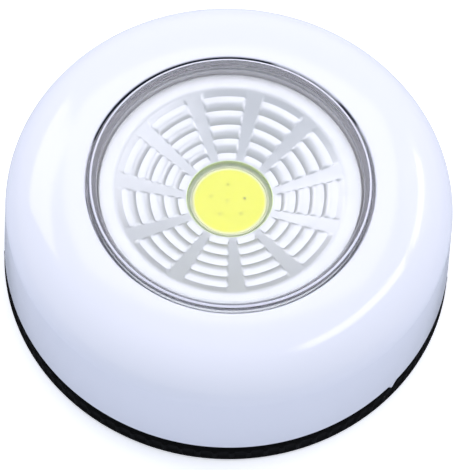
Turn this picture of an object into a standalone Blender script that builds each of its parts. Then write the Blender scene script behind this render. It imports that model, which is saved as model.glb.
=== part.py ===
"""Stick-on LED push light, 72 mm across: a white housing on a black twist-off base.

Metres, +Z up. The origin lies on the light's axis, at the underside of the adhesive pad. The outer sizes
start from three AAA cells laid in a triangle, with the housing drawn round them. The inner ones start from
the return spring round a latching push switch, and go outward over the LED board, the reflector and the lens
to the opening. The head turns on the base to unlock, and the lens with everything under it presses down as
one button, which pushes the switch's plunger.
"""

import math

import bmesh
import bpy
from mathutils import Vector

# Clearances and overlaps
seat_gap = 0.0003
chip_gap = 0.0001
weld_depth = 0.0002
cut_overrun = 0.001
merge_distance = 0.000001

# Smoothness of round pieces
wide_segments = 60
board_segments = 44
cell_segments = 20
narrow_segments = 12
shoulder_steps = 7
inner_shoulder_steps = 3
edge_steps = 3
lead_resolution = 2
spring_resolution = 1
facet_turn = math.radians(7)
edge_angle = math.radians(35)
crease_angle = math.radians(20)

# Adhesive pad
pad_radius = 0.024
pad_thickness = 0.001
pad_proud = 0.0005

# Cells: three AAA, each shifted along its own axis to leave room for its spring
cell_count = 3
first_cell_turn = math.radians(90)
cell_radius = 0.00525
cell_length = 0.0445
cell_shift = 0.001
cell_crimp = 0.0006
nub_radius = 0.0019
nub_length = 0.0009
corner_clearance = 0.00045

# Cell contacts, of nickelled strip and wire
strip_thickness = 0.0004
strip_half_width = 0.004
strip_inset = 0.00175
spring_room = 0.0031
cell_spring_foot = 0.0032
cell_spring_tip = 0.0018
cell_spring_wire = 0.0005
cell_spring_turns = 2.5

# Base
rim_overhang = 0.00015
rim_height = 0.0022
lip_height = 0.0005
lip_chamfer = 0.0002
rib_count = 84
rib_depth = 0.00035
neck_inset = 0.0012
neck_height = 0.0017
neck_wall = 0.0018

# Bayonet between the base and the housing
hook_half_angle = math.radians(7)
unlock_turn = math.radians(20)
stop_play = math.radians(0.6)
stop_width = math.radians(2)
hook_wall = 0.0015
hook_reach = 0.0016
hook_rise = 0.0043
hook_height = 0.0014
catch_height = 0.0014

# Housing
wall_thickness = 0.0019
cell_wall_clearance = 0.0005
wall_draft = 0.0006
shoulder_rise = 0.007
crown_rise = 0.0003
crown_run = 0.0012
crown_slope_run = 0.00168
roof_thickness = 0.0015
opening_edge = 0.0003
boss_radius = 0.0022
boss_length = 0.0065
collar_gap = 0.0004
collar_wall = 0.0012
pointer_turn = math.radians(-40)
pointer_half_width = 0.0012
pointer_drop = 0.0014
pointer_inset = 0.0001
pointer_thickness = 0.0007

# Battery frame
frame_roof = 0.0009
bay_wall = 0.001
bay_wall_lift = 0.002
inner_bay_half_length = 0.013
outer_bay_half_length = 0.0155
end_block_start = 0.0008
end_block_end = 0.00495
cup_wall = 0.0012
cup_floor = 0.0012

# Screws
screw_shaft_radius = 0.0006
screw_head_radius = 0.0016
screw_head_height = 0.0009
screw_grip = 0.0035
screw_bore_play = 0.0001
screw_hole_play = 0.0004
screw_head_round = 0.0004

# Push switch
switch_side = 0.008
switch_flange = 0.0008
switch_flange_height = 0.0008
switch_above_flange = 0.0019
switch_below_flange = 0.0051
switch_corner = 0.0005
pin_length = 0.0017
pin_room = 0.0013
pin_width = 0.0012
pin_thickness = 0.0005
pin_pitch = 0.0025
plunger_side = 0.0036
plunger_play = 0.0003
plunger_sunk = 0.0024

# Button travel and return spring
travel = 0.0015
travel_margin = 0.0003
spring_radius = 0.0083
spring_wire = 0.0005
spring_play = 0.0005
spring_turns = 4
turn_points = 8

# Button carrier
carrier_floor = 0.001
carrier_ring_wall = 0.0006
carrier_ring_height = 0.001
key_half_width = 0.0012
key_reach = 0.0009
key_height = 0.002
key_play = 0.0003

# LED board and its chip-on-board emitter
board_margin = 0.001
board_thickness = 0.0008
emitter_radius = 0.0058
emitter_height = 0.0004
dam_width = 0.0003
dam_height = 0.00045
lead_radius = 0.0005
lead_hole_radius = 0.0009
lead_room = 0.00065
lead_side = 0.0028
lead_drop = 0.0035
lead_straight = 0.0039
lead_bend = 0.0025
resistor_radius = 0.0009
resistor_length = 0.0036
resistor_waist = 0.0007
stub_radius = 0.0003

# Reflector
hub_play = 0.0005
hub_thickness = 0.0009
hub_land = 0.0003
bowl_depth = 0.00325
bowl_curve_share = 1.12
bowl_round_share = 0.18
band_width = 0.0025
bowl_land = 0.0002
band_edge = 0.0003
reflector_wall = 0.001
ring_count = 5
tread_share = 0.5
riser_share = 0.25
sector_count = 11
first_sector_turn = math.radians(96.4)
sector_span_share = 0.733
sector_end_share = 0.12
under_rows = 3
post_radius = 0.0014
post_gap = 0.0004
post_margin = 0.0028
post_bore_depth = 0.0026

# Lens
lens_gap = 0.0004
lens_proud = 0.0007
lens_thickness = 0.0015
lens_edge = 0.0006
lens_wall = 0.0012
lens_air = 0.00185
lens_flange = 0.0018
lens_flange_height = 0.001
lens_spigot = 0.0012

# Plan sizes that follow from the cells
bay_inner = cell_length / 2 / math.tan(math.pi / cell_count) + corner_clearance
bay_outer = bay_inner + 2 * cell_radius
cell_distance = bay_inner + cell_radius
plus_end = cell_length / 2 + cell_shift
minus_end = cell_length / 2 - cell_shift
plus_plate = plus_end + seat_gap
minus_plate = minus_end + spring_room
plate_edge = cell_distance + strip_half_width
plate_inner = cell_distance - strip_half_width
cell_reach = max(
    math.hypot(plus_end, bay_outer),
    math.hypot(plus_plate + strip_thickness, plate_edge),
    math.hypot(minus_plate + strip_thickness, plate_edge),
)
skirt_inner = cell_reach + cell_wall_clearance
skirt_radius = skirt_inner + wall_thickness
shoulder_radius = skirt_radius - wall_draft
rim_radius = skirt_radius + rim_overhang
neck_radius = rim_radius - neck_inset
neck_inner = neck_radius - neck_wall

# Plan sizes that follow from the return spring, outward to the opening
cup_inner = spring_radius + spring_wire / 2 + spring_play
cup_outer = cup_inner + cup_wall
lead_distance = cup_outer + lead_room + lead_hole_radius
board_radius = lead_distance + board_margin
board_ring_inner = board_radius + seat_gap
board_ring_outer = board_ring_inner + carrier_ring_wall
post_distance = board_ring_outer + post_gap + post_radius
reflector_radius = post_distance + post_radius + post_margin + reflector_wall
lens_inner = reflector_radius + seat_gap
lens_radius = lens_inner + lens_wall
opening_radius = lens_radius + lens_gap
crown_radius = opening_radius + crown_run + crown_slope_run
flange_radius = lens_radius + lens_flange
carrier_radius = flange_radius
carrier_inner = lens_radius + seat_gap
collar_inner = carrier_radius + collar_gap
collar_outer = collar_inner + collar_wall

# Plan sizes of the reflector's bowl and of its pattern, outward from the emitter
hub_radius = emitter_radius + chip_gap + dam_width + hub_play
bowl_radius = reflector_radius - band_width
ring_pitch = (bowl_radius - bowl_land - hub_land - hub_radius) / ring_count
tread_width = ring_pitch * tread_share
riser_width = ring_pitch * riser_share
first_crease = hub_radius + hub_land + tread_width
bowl_round = ring_pitch * bowl_round_share

# Heights, from the pad upward
base_bottom = pad_proud
recess_ceiling = pad_thickness + seat_gap
lip_top = base_bottom + lip_height
rim_top = base_bottom + rim_height
neck_top = rim_top + neck_height
skirt_bottom = neck_top + seat_gap
cell_bottom = rim_top + seat_gap
cell_middle = cell_bottom + cell_radius
cell_top = cell_bottom + 2 * cell_radius
strip_bottom = cell_bottom + strip_inset
strip_top = cell_top - strip_inset
roof_bottom = cell_top + seat_gap
frame_top = roof_bottom + frame_roof
carrier_bottom = frame_top + travel + travel_margin
carrier_top = carrier_bottom + carrier_floor
board_bottom = carrier_top + seat_gap
board_top = board_bottom + board_thickness
hub_bottom = board_top + seat_gap
hub_top = hub_bottom + hub_thickness
bowl_top = hub_top + bowl_depth
lens_bottom = bowl_top + lens_air
lens_top = lens_bottom + lens_thickness
housing_top = lens_top - lens_proud
ceiling = housing_top - roof_thickness
flange_top = ceiling - seat_gap
flange_bottom = flange_top - lens_flange_height
carrier_rim_top = flange_bottom - seat_gap
shoulder_bottom = housing_top - crown_rise - shoulder_rise

# Switch heights, from the room under its pins, and the spring cup that carries it
switch_bottom = rim_top + pin_room + pin_length
switch_flange_bottom = switch_bottom + switch_below_flange
switch_flange_top = switch_flange_bottom + switch_flange_height
switch_top = switch_flange_top + switch_above_flange
cup_floor_top = switch_flange_bottom - seat_gap
cup_floor_bottom = cup_floor_top - cup_floor
plunger_top = carrier_bottom - seat_gap
plunger_bottom = switch_top - plunger_sunk

# Screws' bores and holes
screw_bore = screw_shaft_radius + screw_bore_play
screw_hole_radius = screw_shaft_radius + screw_hole_play


def polar(radius, turn):
    """A point in plan from its distance and turn about the light's axis."""
    return Vector((radius * math.cos(turn), radius * math.sin(turn)))


def cell_turn(index):
    """Direction in plan from the light's axis to a cell's middle."""
    return first_cell_turn + index * math.tau / cell_count


def corner_turn(index):
    """Direction in plan of the corner between a cell's minus end and the next cell's plus end."""
    return cell_turn(index) + math.pi / cell_count


def bay_point(index, along, outward):
    """A point in plan given along a cell, towards its plus end, and outward from the light's axis."""
    turn = cell_turn(index)
    return polar(outward, turn) + polar(along, turn - math.pi / 2)


def corner_point(index, outward, side):
    """A point in plan on a corner's own axes, outward and to its anticlockwise side."""
    turn = corner_turn(index)
    return polar(outward, turn) + polar(side, turn + math.pi / 2)


def inner_wall_at(height):
    """Radius of the housing's inner wall, which leans in by its draft, at a height up to the shoulder."""
    rise_share = (height - skirt_bottom) / (shoulder_bottom - skirt_bottom)
    return skirt_inner - wall_draft * rise_share


def quarter(centre, across, up, start, end, steps):
    """Points of an ellipse's arc in (radius, height), with its half sizes across and up."""
    turns = [start + (end - start) * step / steps for step in range(steps + 1)]
    return [(centre[0] + across * math.cos(turn), centre[1] + up * math.sin(turn)) for turn in turns]


def material(name, colour, roughness, metallic=0.0, transmission=0.0):
    """A plain material of one colour."""
    finish = bpy.data.materials.new(name)
    finish.use_nodes = True
    shader = finish.node_tree.nodes["Principled BSDF"]
    shader.inputs["Base Color"].default_value = (*colour, 1)
    shader.inputs["Roughness"].default_value = roughness
    shader.inputs["Metallic"].default_value = metallic
    shader.inputs["Transmission Weight"].default_value = transmission
    finish.diffuse_color = (*colour, 1)
    return finish


def add_turned(shape, outline, segments, turn=math.tau, start=0.0, centre=(0, 0)):
    """Spin a closed (radius, height) outline about the vertical through a centre, all round or part way."""
    place = Vector((centre[0], centre[1], 0))
    aside = polar(1, start)
    ring = [
        shape.verts.new(place + Vector((aside.x * radius, aside.y * radius, height)))
        for radius, height in outline
    ]
    if turn < math.tau:
        geometry = [shape.faces.new(ring)]
    else:
        ends = zip(ring, ring[1:] + ring[:1], outline, outline[1:] + outline[:1])
        geometry = [shape.edges.new((a, b)) for a, b, one, two in ends if one[0] or two[0]]
    bmesh.ops.spin(
        shape,
        geom=geometry,
        cent=place,
        axis=(0, 0, 1),
        dvec=(0, 0, 0),
        angle=turn,
        steps=segments,
        use_merge=turn == math.tau,
        use_duplicate=False,
    )
    bmesh.ops.remove_doubles(shape, verts=shape.verts, dist=merge_distance)


def add_prism(shape, outline, bottom, top):
    """Extrude an outline in plan from one height to another."""
    base = shape.faces.new([shape.verts.new((x, y, bottom)) for x, y in outline])
    grown = bmesh.ops.extrude_face_region(shape, geom=[base])["geom"]
    moved = [item for item in grown if isinstance(item, bmesh.types.BMVert)]
    bmesh.ops.translate(shape, verts=moved, vec=(0, 0, top - bottom))


def finish_mesh(name, shape, finish=None, parent=None, sharp=edge_angle):
    """Turn a bmesh into an object; without a finish it is a tool for a Boolean."""
    bmesh.ops.recalc_face_normals(shape, faces=shape.faces)
    mesh = bpy.data.meshes.new(name)
    shape.to_mesh(mesh)
    shape.free()
    mesh.shade_smooth()
    mesh.set_sharp_from_angle(angle=sharp)
    return add_object(name, mesh, finish, parent)


def add_object(name, data, finish=None, parent=None):
    """Place an object in the scene; without a finish it is a hidden tool."""
    item = bpy.data.objects.new(name, data)
    bpy.context.scene.collection.objects.link(item)
    item.parent = parent
    if finish:
        data.materials.append(finish)
    else:
        item.hide_render = True
        item.display_type = "WIRE"
    return item


def combine(target, tool, operation):
    """Unite with a tool, or cut by it, as a live Boolean, and weld the points that it leaves together."""
    step = target.modifiers.new(tool.name, "BOOLEAN")
    step.operation = operation
    step.solver = "EXACT"
    step.object = tool
    weld = target.modifiers.new(f"{tool.name}_weld", "WELD")
    weld.merge_threshold = merge_distance


def turned_piece(name, outline, finish, parent, segments=wide_segments):
    shape = bmesh.new()
    add_turned(shape, outline, segments)
    return finish_mesh(name, shape, finish, parent)


def turned_tool(name, outline, places=((0, 0),), segments=narrow_segments):
    """A tool of one or several alike turned solids, at places in plan."""
    return turned_tools(name, [(outline, place) for place in places], segments)


def turned_tools(name, solids, segments=narrow_segments):
    """A tool of turned solids, each an outline and a place, with facets off those of what they cut."""
    shape = bmesh.new()
    for outline, place in solids:
        add_turned(shape, outline, segments, start=facet_turn, centre=place)
    return finish_mesh(name, shape)


def rectangle(low, high):
    """Corners of a (radius, height) rectangle."""
    return [(low[0], low[1]), (high[0], low[1]), (high[0], high[1]), (low[0], high[1])]


def rod(radius, bottom, top):
    """Outline of a plain cylinder on its own axis."""
    return [(0, bottom), (radius, bottom), (radius, top), (0, top)]


def bored_rod(radius, bottom, top, bore_top):
    """Outline of a screw post: a cylinder with a blind bore from below."""
    bore = [(0, bore_top), (screw_bore, bore_top), (screw_bore, bottom)]
    return bore + [(radius, bottom), (radius, top), (0, top)]


def square(side, corner):
    """Corners in plan of a square with its corners cut, centred on the axis."""
    half = side / 2
    near = half - corner
    return [
        (half, -near), (half, near), (near, half), (-near, half),
        (-half, near), (-half, -near), (-near, -half), (near, -half),
    ]


def bay_box(index, along, outward):
    """Corners in plan of a box given as two ranges in a cell's own axes."""
    return [
        bay_point(index, along[0], outward[0]),
        bay_point(index, along[0], outward[1]),
        bay_point(index, along[1], outward[1]),
        bay_point(index, along[1], outward[0]),
    ]


def tube(name, points, radius, finish, parent, resolution):
    """A round wire along points, as a curve with filled ends."""
    curve = bpy.data.curves.new(name, "CURVE")
    curve.dimensions = "3D"
    spline = curve.splines.new("POLY")
    spline.points.add(len(points) - 1)
    for place, point in zip(spline.points, points):
        place.co = (*point, 1)
    curve.bevel_depth = radius
    curve.bevel_resolution = resolution
    curve.use_fill_caps = True
    return add_object(name, curve, finish, parent)


def smooth_route(corners, spacing):
    """Even points along a smooth curve through the corners of a route."""
    ends = [corners[0] * 2 - corners[1], *corners, corners[-1] * 2 - corners[-2]]
    route = []
    for before, near, far, after in zip(ends, ends[1:], ends[2:], ends[3:]):
        steps = max(2, round((far - near).length / spacing))
        for step in range(steps):
            share = step / steps
            pull = (far - before) * share + (before * 2 - near * 5 + far * 4 - after) * share**2
            bend = (near * 3 - before - far * 3 + after) * share**3
            route.append(near + (pull + bend) / 2)
    return route + [corners[-1]]


def least_turn_gap(points, wire, turns_points):
    """Least clear distance between wire that is at least half a turn apart."""
    apart = turns_points // 2
    pairs = (
        (first - second).length
        for index, first in enumerate(points)
        for second in points[index + apart:]
    )
    return min(pairs) - wire


def coil_points(start_radius, end_radius, length, turns):
    """A helix about +Z from height 0, which narrows evenly from one radius to the other."""
    count = round(turns * turn_points)
    points = []
    for step in range(count + 1):
        share = step / count
        across = polar(start_radius + (end_radius - start_radius) * share, share * turns * math.tau)
        points.append(Vector((across.x, across.y, length * share)))
    return points


def make_base(parent, finish):
    """Black base: ribbed rim, neck in the shadow gap, floor under the cells, three bayonet hooks."""
    shape = bmesh.new()
    teeth = []
    for index in range(2 * rib_count):
        depth = rib_depth if index % 2 else 0
        teeth.append(polar(rim_radius - depth, index * math.pi / rib_count))
    add_prism(shape, teeth, lip_top - weld_depth, rim_top)
    base = finish_mesh("base_cover", shape, finish, parent)
    lip = rod(rim_radius - lip_chamfer, base_bottom, lip_top)
    lip[2:3] = [(rim_radius, base_bottom + lip_chamfer), (rim_radius, lip_top)]
    combine(base, turned_tool("lip_tool", lip, segments=wide_segments), "UNION")
    neck = rectangle((neck_inner, rim_top - weld_depth), (neck_radius, neck_top))
    combine(base, turned_tool("neck_tool", neck, segments=wide_segments), "UNION")
    hook_bottom = skirt_bottom + hook_rise
    hook_top = hook_bottom + hook_height
    hook_outer = inner_wall_at(hook_top) - seat_gap
    post_outer = hook_outer - hook_reach
    section = [
        (post_outer - hook_wall, rim_top - weld_depth),
        (post_outer, rim_top - weld_depth),
        (post_outer, hook_bottom),
        (hook_outer, hook_bottom),
        (hook_outer, hook_top),
        (post_outer - hook_wall, hook_top),
    ]
    shape = bmesh.new()
    for index in range(cell_count):
        start = cell_turn(index) - hook_half_angle
        add_turned(shape, section, edge_steps, 2 * hook_half_angle, start)
    combine(base, finish_mesh("hook_tool", shape), "UNION")
    recess = rod(pad_radius + seat_gap, base_bottom - cut_overrun, recess_ceiling)
    combine(base, turned_tool("recess_tool", recess, segments=wide_segments), "DIFFERENCE")


def housing_outline():
    """Section of the housing: drafted wall, elliptical shoulder, crowned roof, opening and guide collar."""
    shoulder_run = shoulder_radius - crown_radius
    outer = quarter(
        (crown_radius, shoulder_bottom), shoulder_run, shoulder_rise, 0, math.pi / 2, shoulder_steps
    )
    inner = quarter(
        (crown_radius, shoulder_bottom),
        shoulder_run - wall_thickness,
        ceiling - shoulder_bottom,
        math.pi / 2,
        0,
        inner_shoulder_steps,
    )
    crown = [
        (opening_radius + crown_run, housing_top),
        (opening_radius + opening_edge, housing_top),
        (opening_radius, housing_top - opening_edge),
    ]
    collar = [
        (opening_radius, ceiling),
        (collar_inner, ceiling),
        (collar_inner, carrier_bottom),
        (collar_outer, carrier_bottom),
        (collar_outer, ceiling),
    ]
    inner = [point for point in inner if point[0] > collar_outer]
    return [(skirt_radius, skirt_bottom), *outer, *crown, *collar, *inner, (skirt_inner, skirt_bottom)]


def make_housing(parent, finish):
    """White housing with its bayonet catches, stops, screw bosses, guide slots and pointer."""
    housing = turned_piece("housing", housing_outline(), finish, parent)
    hook_bottom = skirt_bottom + hook_rise
    hook_top = hook_bottom + hook_height
    catch_top = hook_bottom - seat_gap
    catch_inner = inner_wall_at(hook_top) - hook_reach
    catch_outer = skirt_inner + weld_depth
    catch = rectangle((catch_inner, catch_top - catch_height), (catch_outer, catch_top))
    stop = rectangle(
        (catch_inner + weld_depth, catch_top - catch_height - weld_depth),
        (catch_outer + weld_depth, hook_top),
    )
    catches = bmesh.new()
    stops = bmesh.new()
    for index in range(cell_count):
        middle = cell_turn(index)
        past_lock = middle + hook_half_angle + stop_play
        past_unlock = middle - hook_half_angle - unlock_turn - stop_play - stop_width
        catch_turn = 2 * hook_half_angle + stop_play + stop_width / 2
        add_turned(catches, catch, edge_steps, catch_turn, middle - hook_half_angle)
        for start in (past_lock, past_unlock):
            add_turned(stops, stop, 1, stop_width, start)
    combine(housing, finish_mesh("catch_tool", catches), "UNION")
    combine(housing, finish_mesh("stop_tool", stops), "UNION")
    boss_places = [polar(boss_distance, cell_turn(index)) for index in range(cell_count)]
    boss_bottom = frame_top + seat_gap
    bore_top = boss_bottom + screw_grip
    boss = bored_rod(boss_radius, boss_bottom, boss_bottom + boss_length, bore_top)
    combine(housing, turned_tool("boss_tool", boss, boss_places), "UNION")
    slots = bmesh.new()
    slot_half = key_half_width + key_play
    for index in range(cell_count):
        outline = [
            corner_point(index, collar_inner - cut_overrun, -slot_half),
            corner_point(index, collar_outer + cut_overrun, -slot_half),
            corner_point(index, collar_outer + cut_overrun, slot_half),
            corner_point(index, collar_inner - cut_overrun, slot_half),
        ]
        add_prism(slots, outline, carrier_bottom - cut_overrun, carrier_bottom + key_height + key_play)
    combine(housing, finish_mesh("slot_tool", slots), "DIFFERENCE")
    combine(housing, pointer_tool(), "UNION")


def pointer_tool():
    """Small triangle under the skirt's edge that marks the locked position against the base."""
    outward = polar(1, pointer_turn)
    aside = polar(1, pointer_turn + math.pi / 2)
    outer = skirt_radius - pointer_inset
    corners = []
    for side, height in (
        (-pointer_half_width, skirt_bottom + weld_depth),
        (pointer_half_width, skirt_bottom + weld_depth),
        (0, skirt_bottom - pointer_drop),
    ):
        place = outward * (outer - pointer_thickness) + aside * side
        corners.append(Vector((place.x, place.y, height)))
    shape = bmesh.new()
    back = shape.faces.new([shape.verts.new(corner) for corner in corners])
    grown = bmesh.ops.extrude_face_region(shape, geom=[back])["geom"]
    moved = [item for item in grown if isinstance(item, bmesh.types.BMVert)]
    bmesh.ops.translate(shape, verts=moved, vec=outward.to_3d() * pointer_thickness)
    return finish_mesh("pointer_tool", shape)


def make_frame(parent, finish):
    """Battery frame: roof, spring cup with the switch hole, bay walls and contact blocks."""
    roof_radius = inner_wall_at(frame_top) - seat_gap
    frame = turned_piece(
        "battery_frame", rectangle((cup_inner, roof_bottom), (roof_radius, frame_top)), finish, parent
    )
    cup = [
        (0, cup_floor_bottom),
        (cup_outer, cup_floor_bottom),
        (cup_outer, roof_bottom + weld_depth),
        (cup_inner - weld_depth, roof_bottom + weld_depth),
        (cup_inner - weld_depth, cup_floor_top),
        (0, cup_floor_top),
    ]
    combine(frame, turned_tool("cup_tool", cup, segments=wide_segments), "UNION")
    wall_bottom = cell_bottom + bay_wall_lift
    wall_top = roof_bottom + weld_depth
    inner_face = bay_inner - seat_gap
    outer_face = bay_outer + seat_gap
    walls = bmesh.new()
    inner_ends = (-inner_bay_half_length, inner_bay_half_length)
    outer_ends = (-outer_bay_half_length, outer_bay_half_length)
    for index in range(cell_count):
        inner_wall = bay_box(index, inner_ends, (inner_face - bay_wall, inner_face))
        outer_wall = bay_box(index, outer_ends, (outer_face, outer_face + bay_wall))
        for plan in (inner_wall, outer_wall, end_block(index)):
            add_prism(walls, plan, wall_bottom, wall_top)
    combine(frame, finish_mesh("bay_wall_tool", walls), "UNION")
    hole = bmesh.new()
    add_prism(
        hole,
        square(switch_side + 2 * seat_gap, switch_corner),
        cup_floor_bottom - cut_overrun,
        cup_floor_top + weld_depth,
    )
    combine(frame, finish_mesh("switch_hole_tool", hole), "DIFFERENCE")
    cut_ends = (roof_bottom - cut_overrun, frame_top + cut_overrun)
    screw_hole = rod(screw_hole_radius, *cut_ends)
    head_room = rod(screw_head_radius + seat_gap, *cut_ends)
    holes = [(screw_hole, polar(boss_distance, cell_turn(index))) for index in range(cell_count)]
    holes += [(head_room, polar(post_distance, corner_turn(index))) for index in range(cell_count)]
    holes += [(rod(lead_hole_radius, *cut_ends), place) for place in lead_places]
    combine(frame, turned_tools("frame_hole_tool", holes), "DIFFERENCE")


def end_block(index):
    """Plan of the block behind a corner's contact plates, which takes the springs' push."""
    following = (index + 1) % cell_count
    minus_side = -(minus_plate + strip_thickness + seat_gap)
    plus_side = plus_plate + strip_thickness + seat_gap
    near = plate_inner + end_block_start
    far = plate_inner + end_block_end
    return [
        bay_point(index, minus_side, near),
        bay_point(index, minus_side, far),
        bay_point(following, plus_side, far),
        bay_point(following, plus_side, near),
    ]


def make_cell(index, parent, finish):
    """One AAA cell lying in its bay, as a turned body with its crimped edges and plus nub."""
    start = -minus_end
    shoulder = plus_end - nub_length
    outline = [
        (0, start),
        (cell_radius - cell_crimp, start),
        (cell_radius, start + cell_crimp),
        (cell_radius, shoulder - cell_crimp),
        (cell_radius - cell_crimp, shoulder),
        (nub_radius, shoulder),
        (nub_radius, plus_end),
        (0, plus_end),
    ]
    cell = turned_piece(f"cell_{index + 1}", outline, finish, parent, cell_segments)
    middle = bay_point(index, 0, cell_distance)
    cell.location = (middle.x, middle.y, cell_middle)
    cell.rotation_euler = (0, math.pi / 2, cell_turn(index) - math.pi / 2)


def make_cell_spring(index, parent, finish):
    """Conical contact spring between a minus plate and its cell."""
    room = spring_room - 2 * seat_gap - cell_spring_wire
    points = coil_points(cell_spring_foot, cell_spring_tip, room, cell_spring_turns)
    gap = least_turn_gap(points, cell_spring_wire, turn_points)
    print(f"cell spring {index + 1}: least gap to itself {gap * 1000:.2f} mm")
    name = f"cell_spring_{index + 1}"
    spring = tube(name, points, cell_spring_wire / 2, finish, parent, spring_resolution)
    foot = bay_point(index, -minus_plate + seat_gap + cell_spring_wire / 2, cell_distance)
    spring.location = (foot.x, foot.y, cell_middle)
    spring.rotation_euler = (0, math.pi / 2, cell_turn(index) - math.pi / 2)


def make_contacts(parent, finish):
    """Two links, each bent round a corner from a minus plate to the next cell's plus plate, and two ends."""
    for index in range(cell_count):
        following = (index + 1) % cell_count
        minus_outer = -(minus_plate + strip_thickness)
        plus_outer = plus_plate + strip_thickness
        minus_strip = bay_box(index, (minus_outer, -minus_plate), (plate_inner, plate_edge))
        plus_strip = bay_box(following, (plus_plate, plus_outer), (plate_inner, plate_edge))
        if index < cell_count - 1:
            strip = [
                minus_strip[1], minus_strip[2], minus_strip[3],
                plus_strip[0], plus_strip[1], plus_strip[2], plus_strip[3],
                minus_strip[0],
            ]
            make_strip(f"contact_link_{index + 1}", strip, parent, finish)
        else:
            make_strip("minus_terminal", minus_strip, parent, finish)
            make_strip("plus_terminal", plus_strip, parent, finish)


def make_strip(name, outline, parent, finish):
    shape = bmesh.new()
    add_prism(shape, outline, strip_bottom, strip_top)
    finish_mesh(name, shape, finish, parent)


def make_screw(name, place, head_bottom, shaft_top, parent, finish):
    """Pan-head screw that goes in from below."""
    head_top = head_bottom + screw_head_height
    outline = [
        (0, head_bottom),
        (screw_head_radius - screw_head_round, head_bottom),
        (screw_head_radius, head_bottom + screw_head_round),
        (screw_head_radius, head_top),
        (screw_shaft_radius, head_top),
        (screw_shaft_radius, shaft_top),
        (0, shaft_top),
    ]
    screw = turned_piece(name, outline, finish, parent, narrow_segments)
    screw.location = (place.x, place.y, 0)


def make_switch(head, plunger_parent, body_finish, plunger_finish):
    """Square latching push switch with a flange on the cup floor, three pins and a plunger."""
    body = bmesh.new()
    add_prism(body, square(switch_side, switch_corner), switch_bottom, switch_top)
    switch = finish_mesh("switch_body", body, body_finish, head)
    flange = bmesh.new()
    add_prism(
        flange,
        square(switch_side + 2 * switch_flange, switch_corner),
        switch_flange_bottom,
        switch_flange_top,
    )
    combine(switch, finish_mesh("switch_flange_tool", flange), "UNION")
    pins = bmesh.new()
    for step in (-1, 0, 1):
        across = step * pin_pitch
        outline = [
            (across - pin_width / 2, -pin_thickness / 2),
            (across + pin_width / 2, -pin_thickness / 2),
            (across + pin_width / 2, pin_thickness / 2),
            (across - pin_width / 2, pin_thickness / 2),
        ]
        add_prism(pins, outline, switch_bottom - pin_length, switch_bottom + weld_depth)
    combine(switch, finish_mesh("switch_pin_tool", pins), "UNION")
    well = bmesh.new()
    add_prism(
        well,
        square(plunger_side + 2 * plunger_play, switch_corner),
        plunger_bottom - travel - seat_gap,
        switch_top + cut_overrun,
    )
    combine(switch, finish_mesh("plunger_well_tool", well), "DIFFERENCE")
    stem = bmesh.new()
    add_prism(stem, square(plunger_side, switch_corner), plunger_bottom, plunger_top)
    finish_mesh("switch_plunger", stem, plunger_finish, plunger_parent)


def make_return_spring(parent, finish):
    """Return spring round the switch, from the cup floor to the carrier."""
    bottom = cup_floor_top + seat_gap + spring_wire / 2
    top = carrier_bottom - seat_gap - spring_wire / 2
    points = [point + Vector((0, 0, bottom)) for point in coil_points(
        spring_radius, spring_radius, top - bottom, spring_turns
    )]
    gap = least_turn_gap(points, spring_wire, turn_points)
    print(f"return spring: least gap to itself {gap * 1000:.2f} mm")
    tube("return_spring", points, spring_wire / 2, finish, parent, spring_resolution)


def make_carrier(parent, finish):
    """Cup under the reflector, with keys in the guide collar's slots and a ring round the LED board."""
    outline = [
        (0, carrier_bottom),
        (carrier_radius, carrier_bottom),
        (carrier_radius, carrier_rim_top),
        (carrier_inner, carrier_rim_top),
        (carrier_inner, carrier_top),
        (board_ring_outer, carrier_top),
        (board_ring_outer, carrier_top + carrier_ring_height),
        (board_ring_inner, carrier_top + carrier_ring_height),
        (board_ring_inner, carrier_top),
        (0, carrier_top),
    ]
    carrier = turned_piece("button_carrier", outline, finish, parent)
    keys = bmesh.new()
    for index in range(cell_count):
        corners = [
            corner_point(index, carrier_radius - 2 * weld_depth, -key_half_width),
            corner_point(index, carrier_radius + key_reach, -key_half_width),
            corner_point(index, carrier_radius + key_reach, key_half_width),
            corner_point(index, carrier_radius - 2 * weld_depth, key_half_width),
        ]
        add_prism(keys, corners, carrier_bottom + weld_depth, carrier_bottom + key_height)
    combine(carrier, finish_mesh("key_tool", keys), "UNION")
    cut_ends = (carrier_bottom - cut_overrun, carrier_top + cut_overrun / 2)
    screw_hole = rod(screw_hole_radius, *cut_ends)
    holes = [(screw_hole, polar(post_distance, corner_turn(index))) for index in range(cell_count)]
    holes += [(rod(lead_hole_radius, *cut_ends), place) for place in lead_places]
    combine(carrier, turned_tools("carrier_hole_tool", holes), "DIFFERENCE")


def make_board(parent, board_finish, dam_finish, emitter_finish):
    """Round aluminium LED board with the emitter's silicone dam and its phosphor disc."""
    board = rod(board_radius, board_bottom, board_top)
    turned_piece("cob_board", board, board_finish, parent, board_segments)
    chip_bottom = board_top + chip_gap
    dam_inner = emitter_radius + chip_gap
    dam = rectangle((dam_inner, chip_bottom), (dam_inner + dam_width, chip_bottom + dam_height))
    turned_piece("cob_dam", dam, dam_finish, parent, board_segments)
    emitter = rod(emitter_radius, chip_bottom, chip_bottom + emitter_height)
    turned_piece("cob_emitter", emitter, emitter_finish, parent, board_segments)


def bowl_height(radius):
    """Height of the reflector's smooth bowl, which steepens towards its edge."""
    share = max(radius - hub_radius, 0) / (bowl_radius - hub_radius)
    return hub_top + bowl_depth * share**bowl_curve_share


def under_height(radius):
    """Height of the reflector's underside, a hub's thickness under the lowest tread."""
    return bowl_height(radius - tread_width) - hub_thickness


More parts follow.
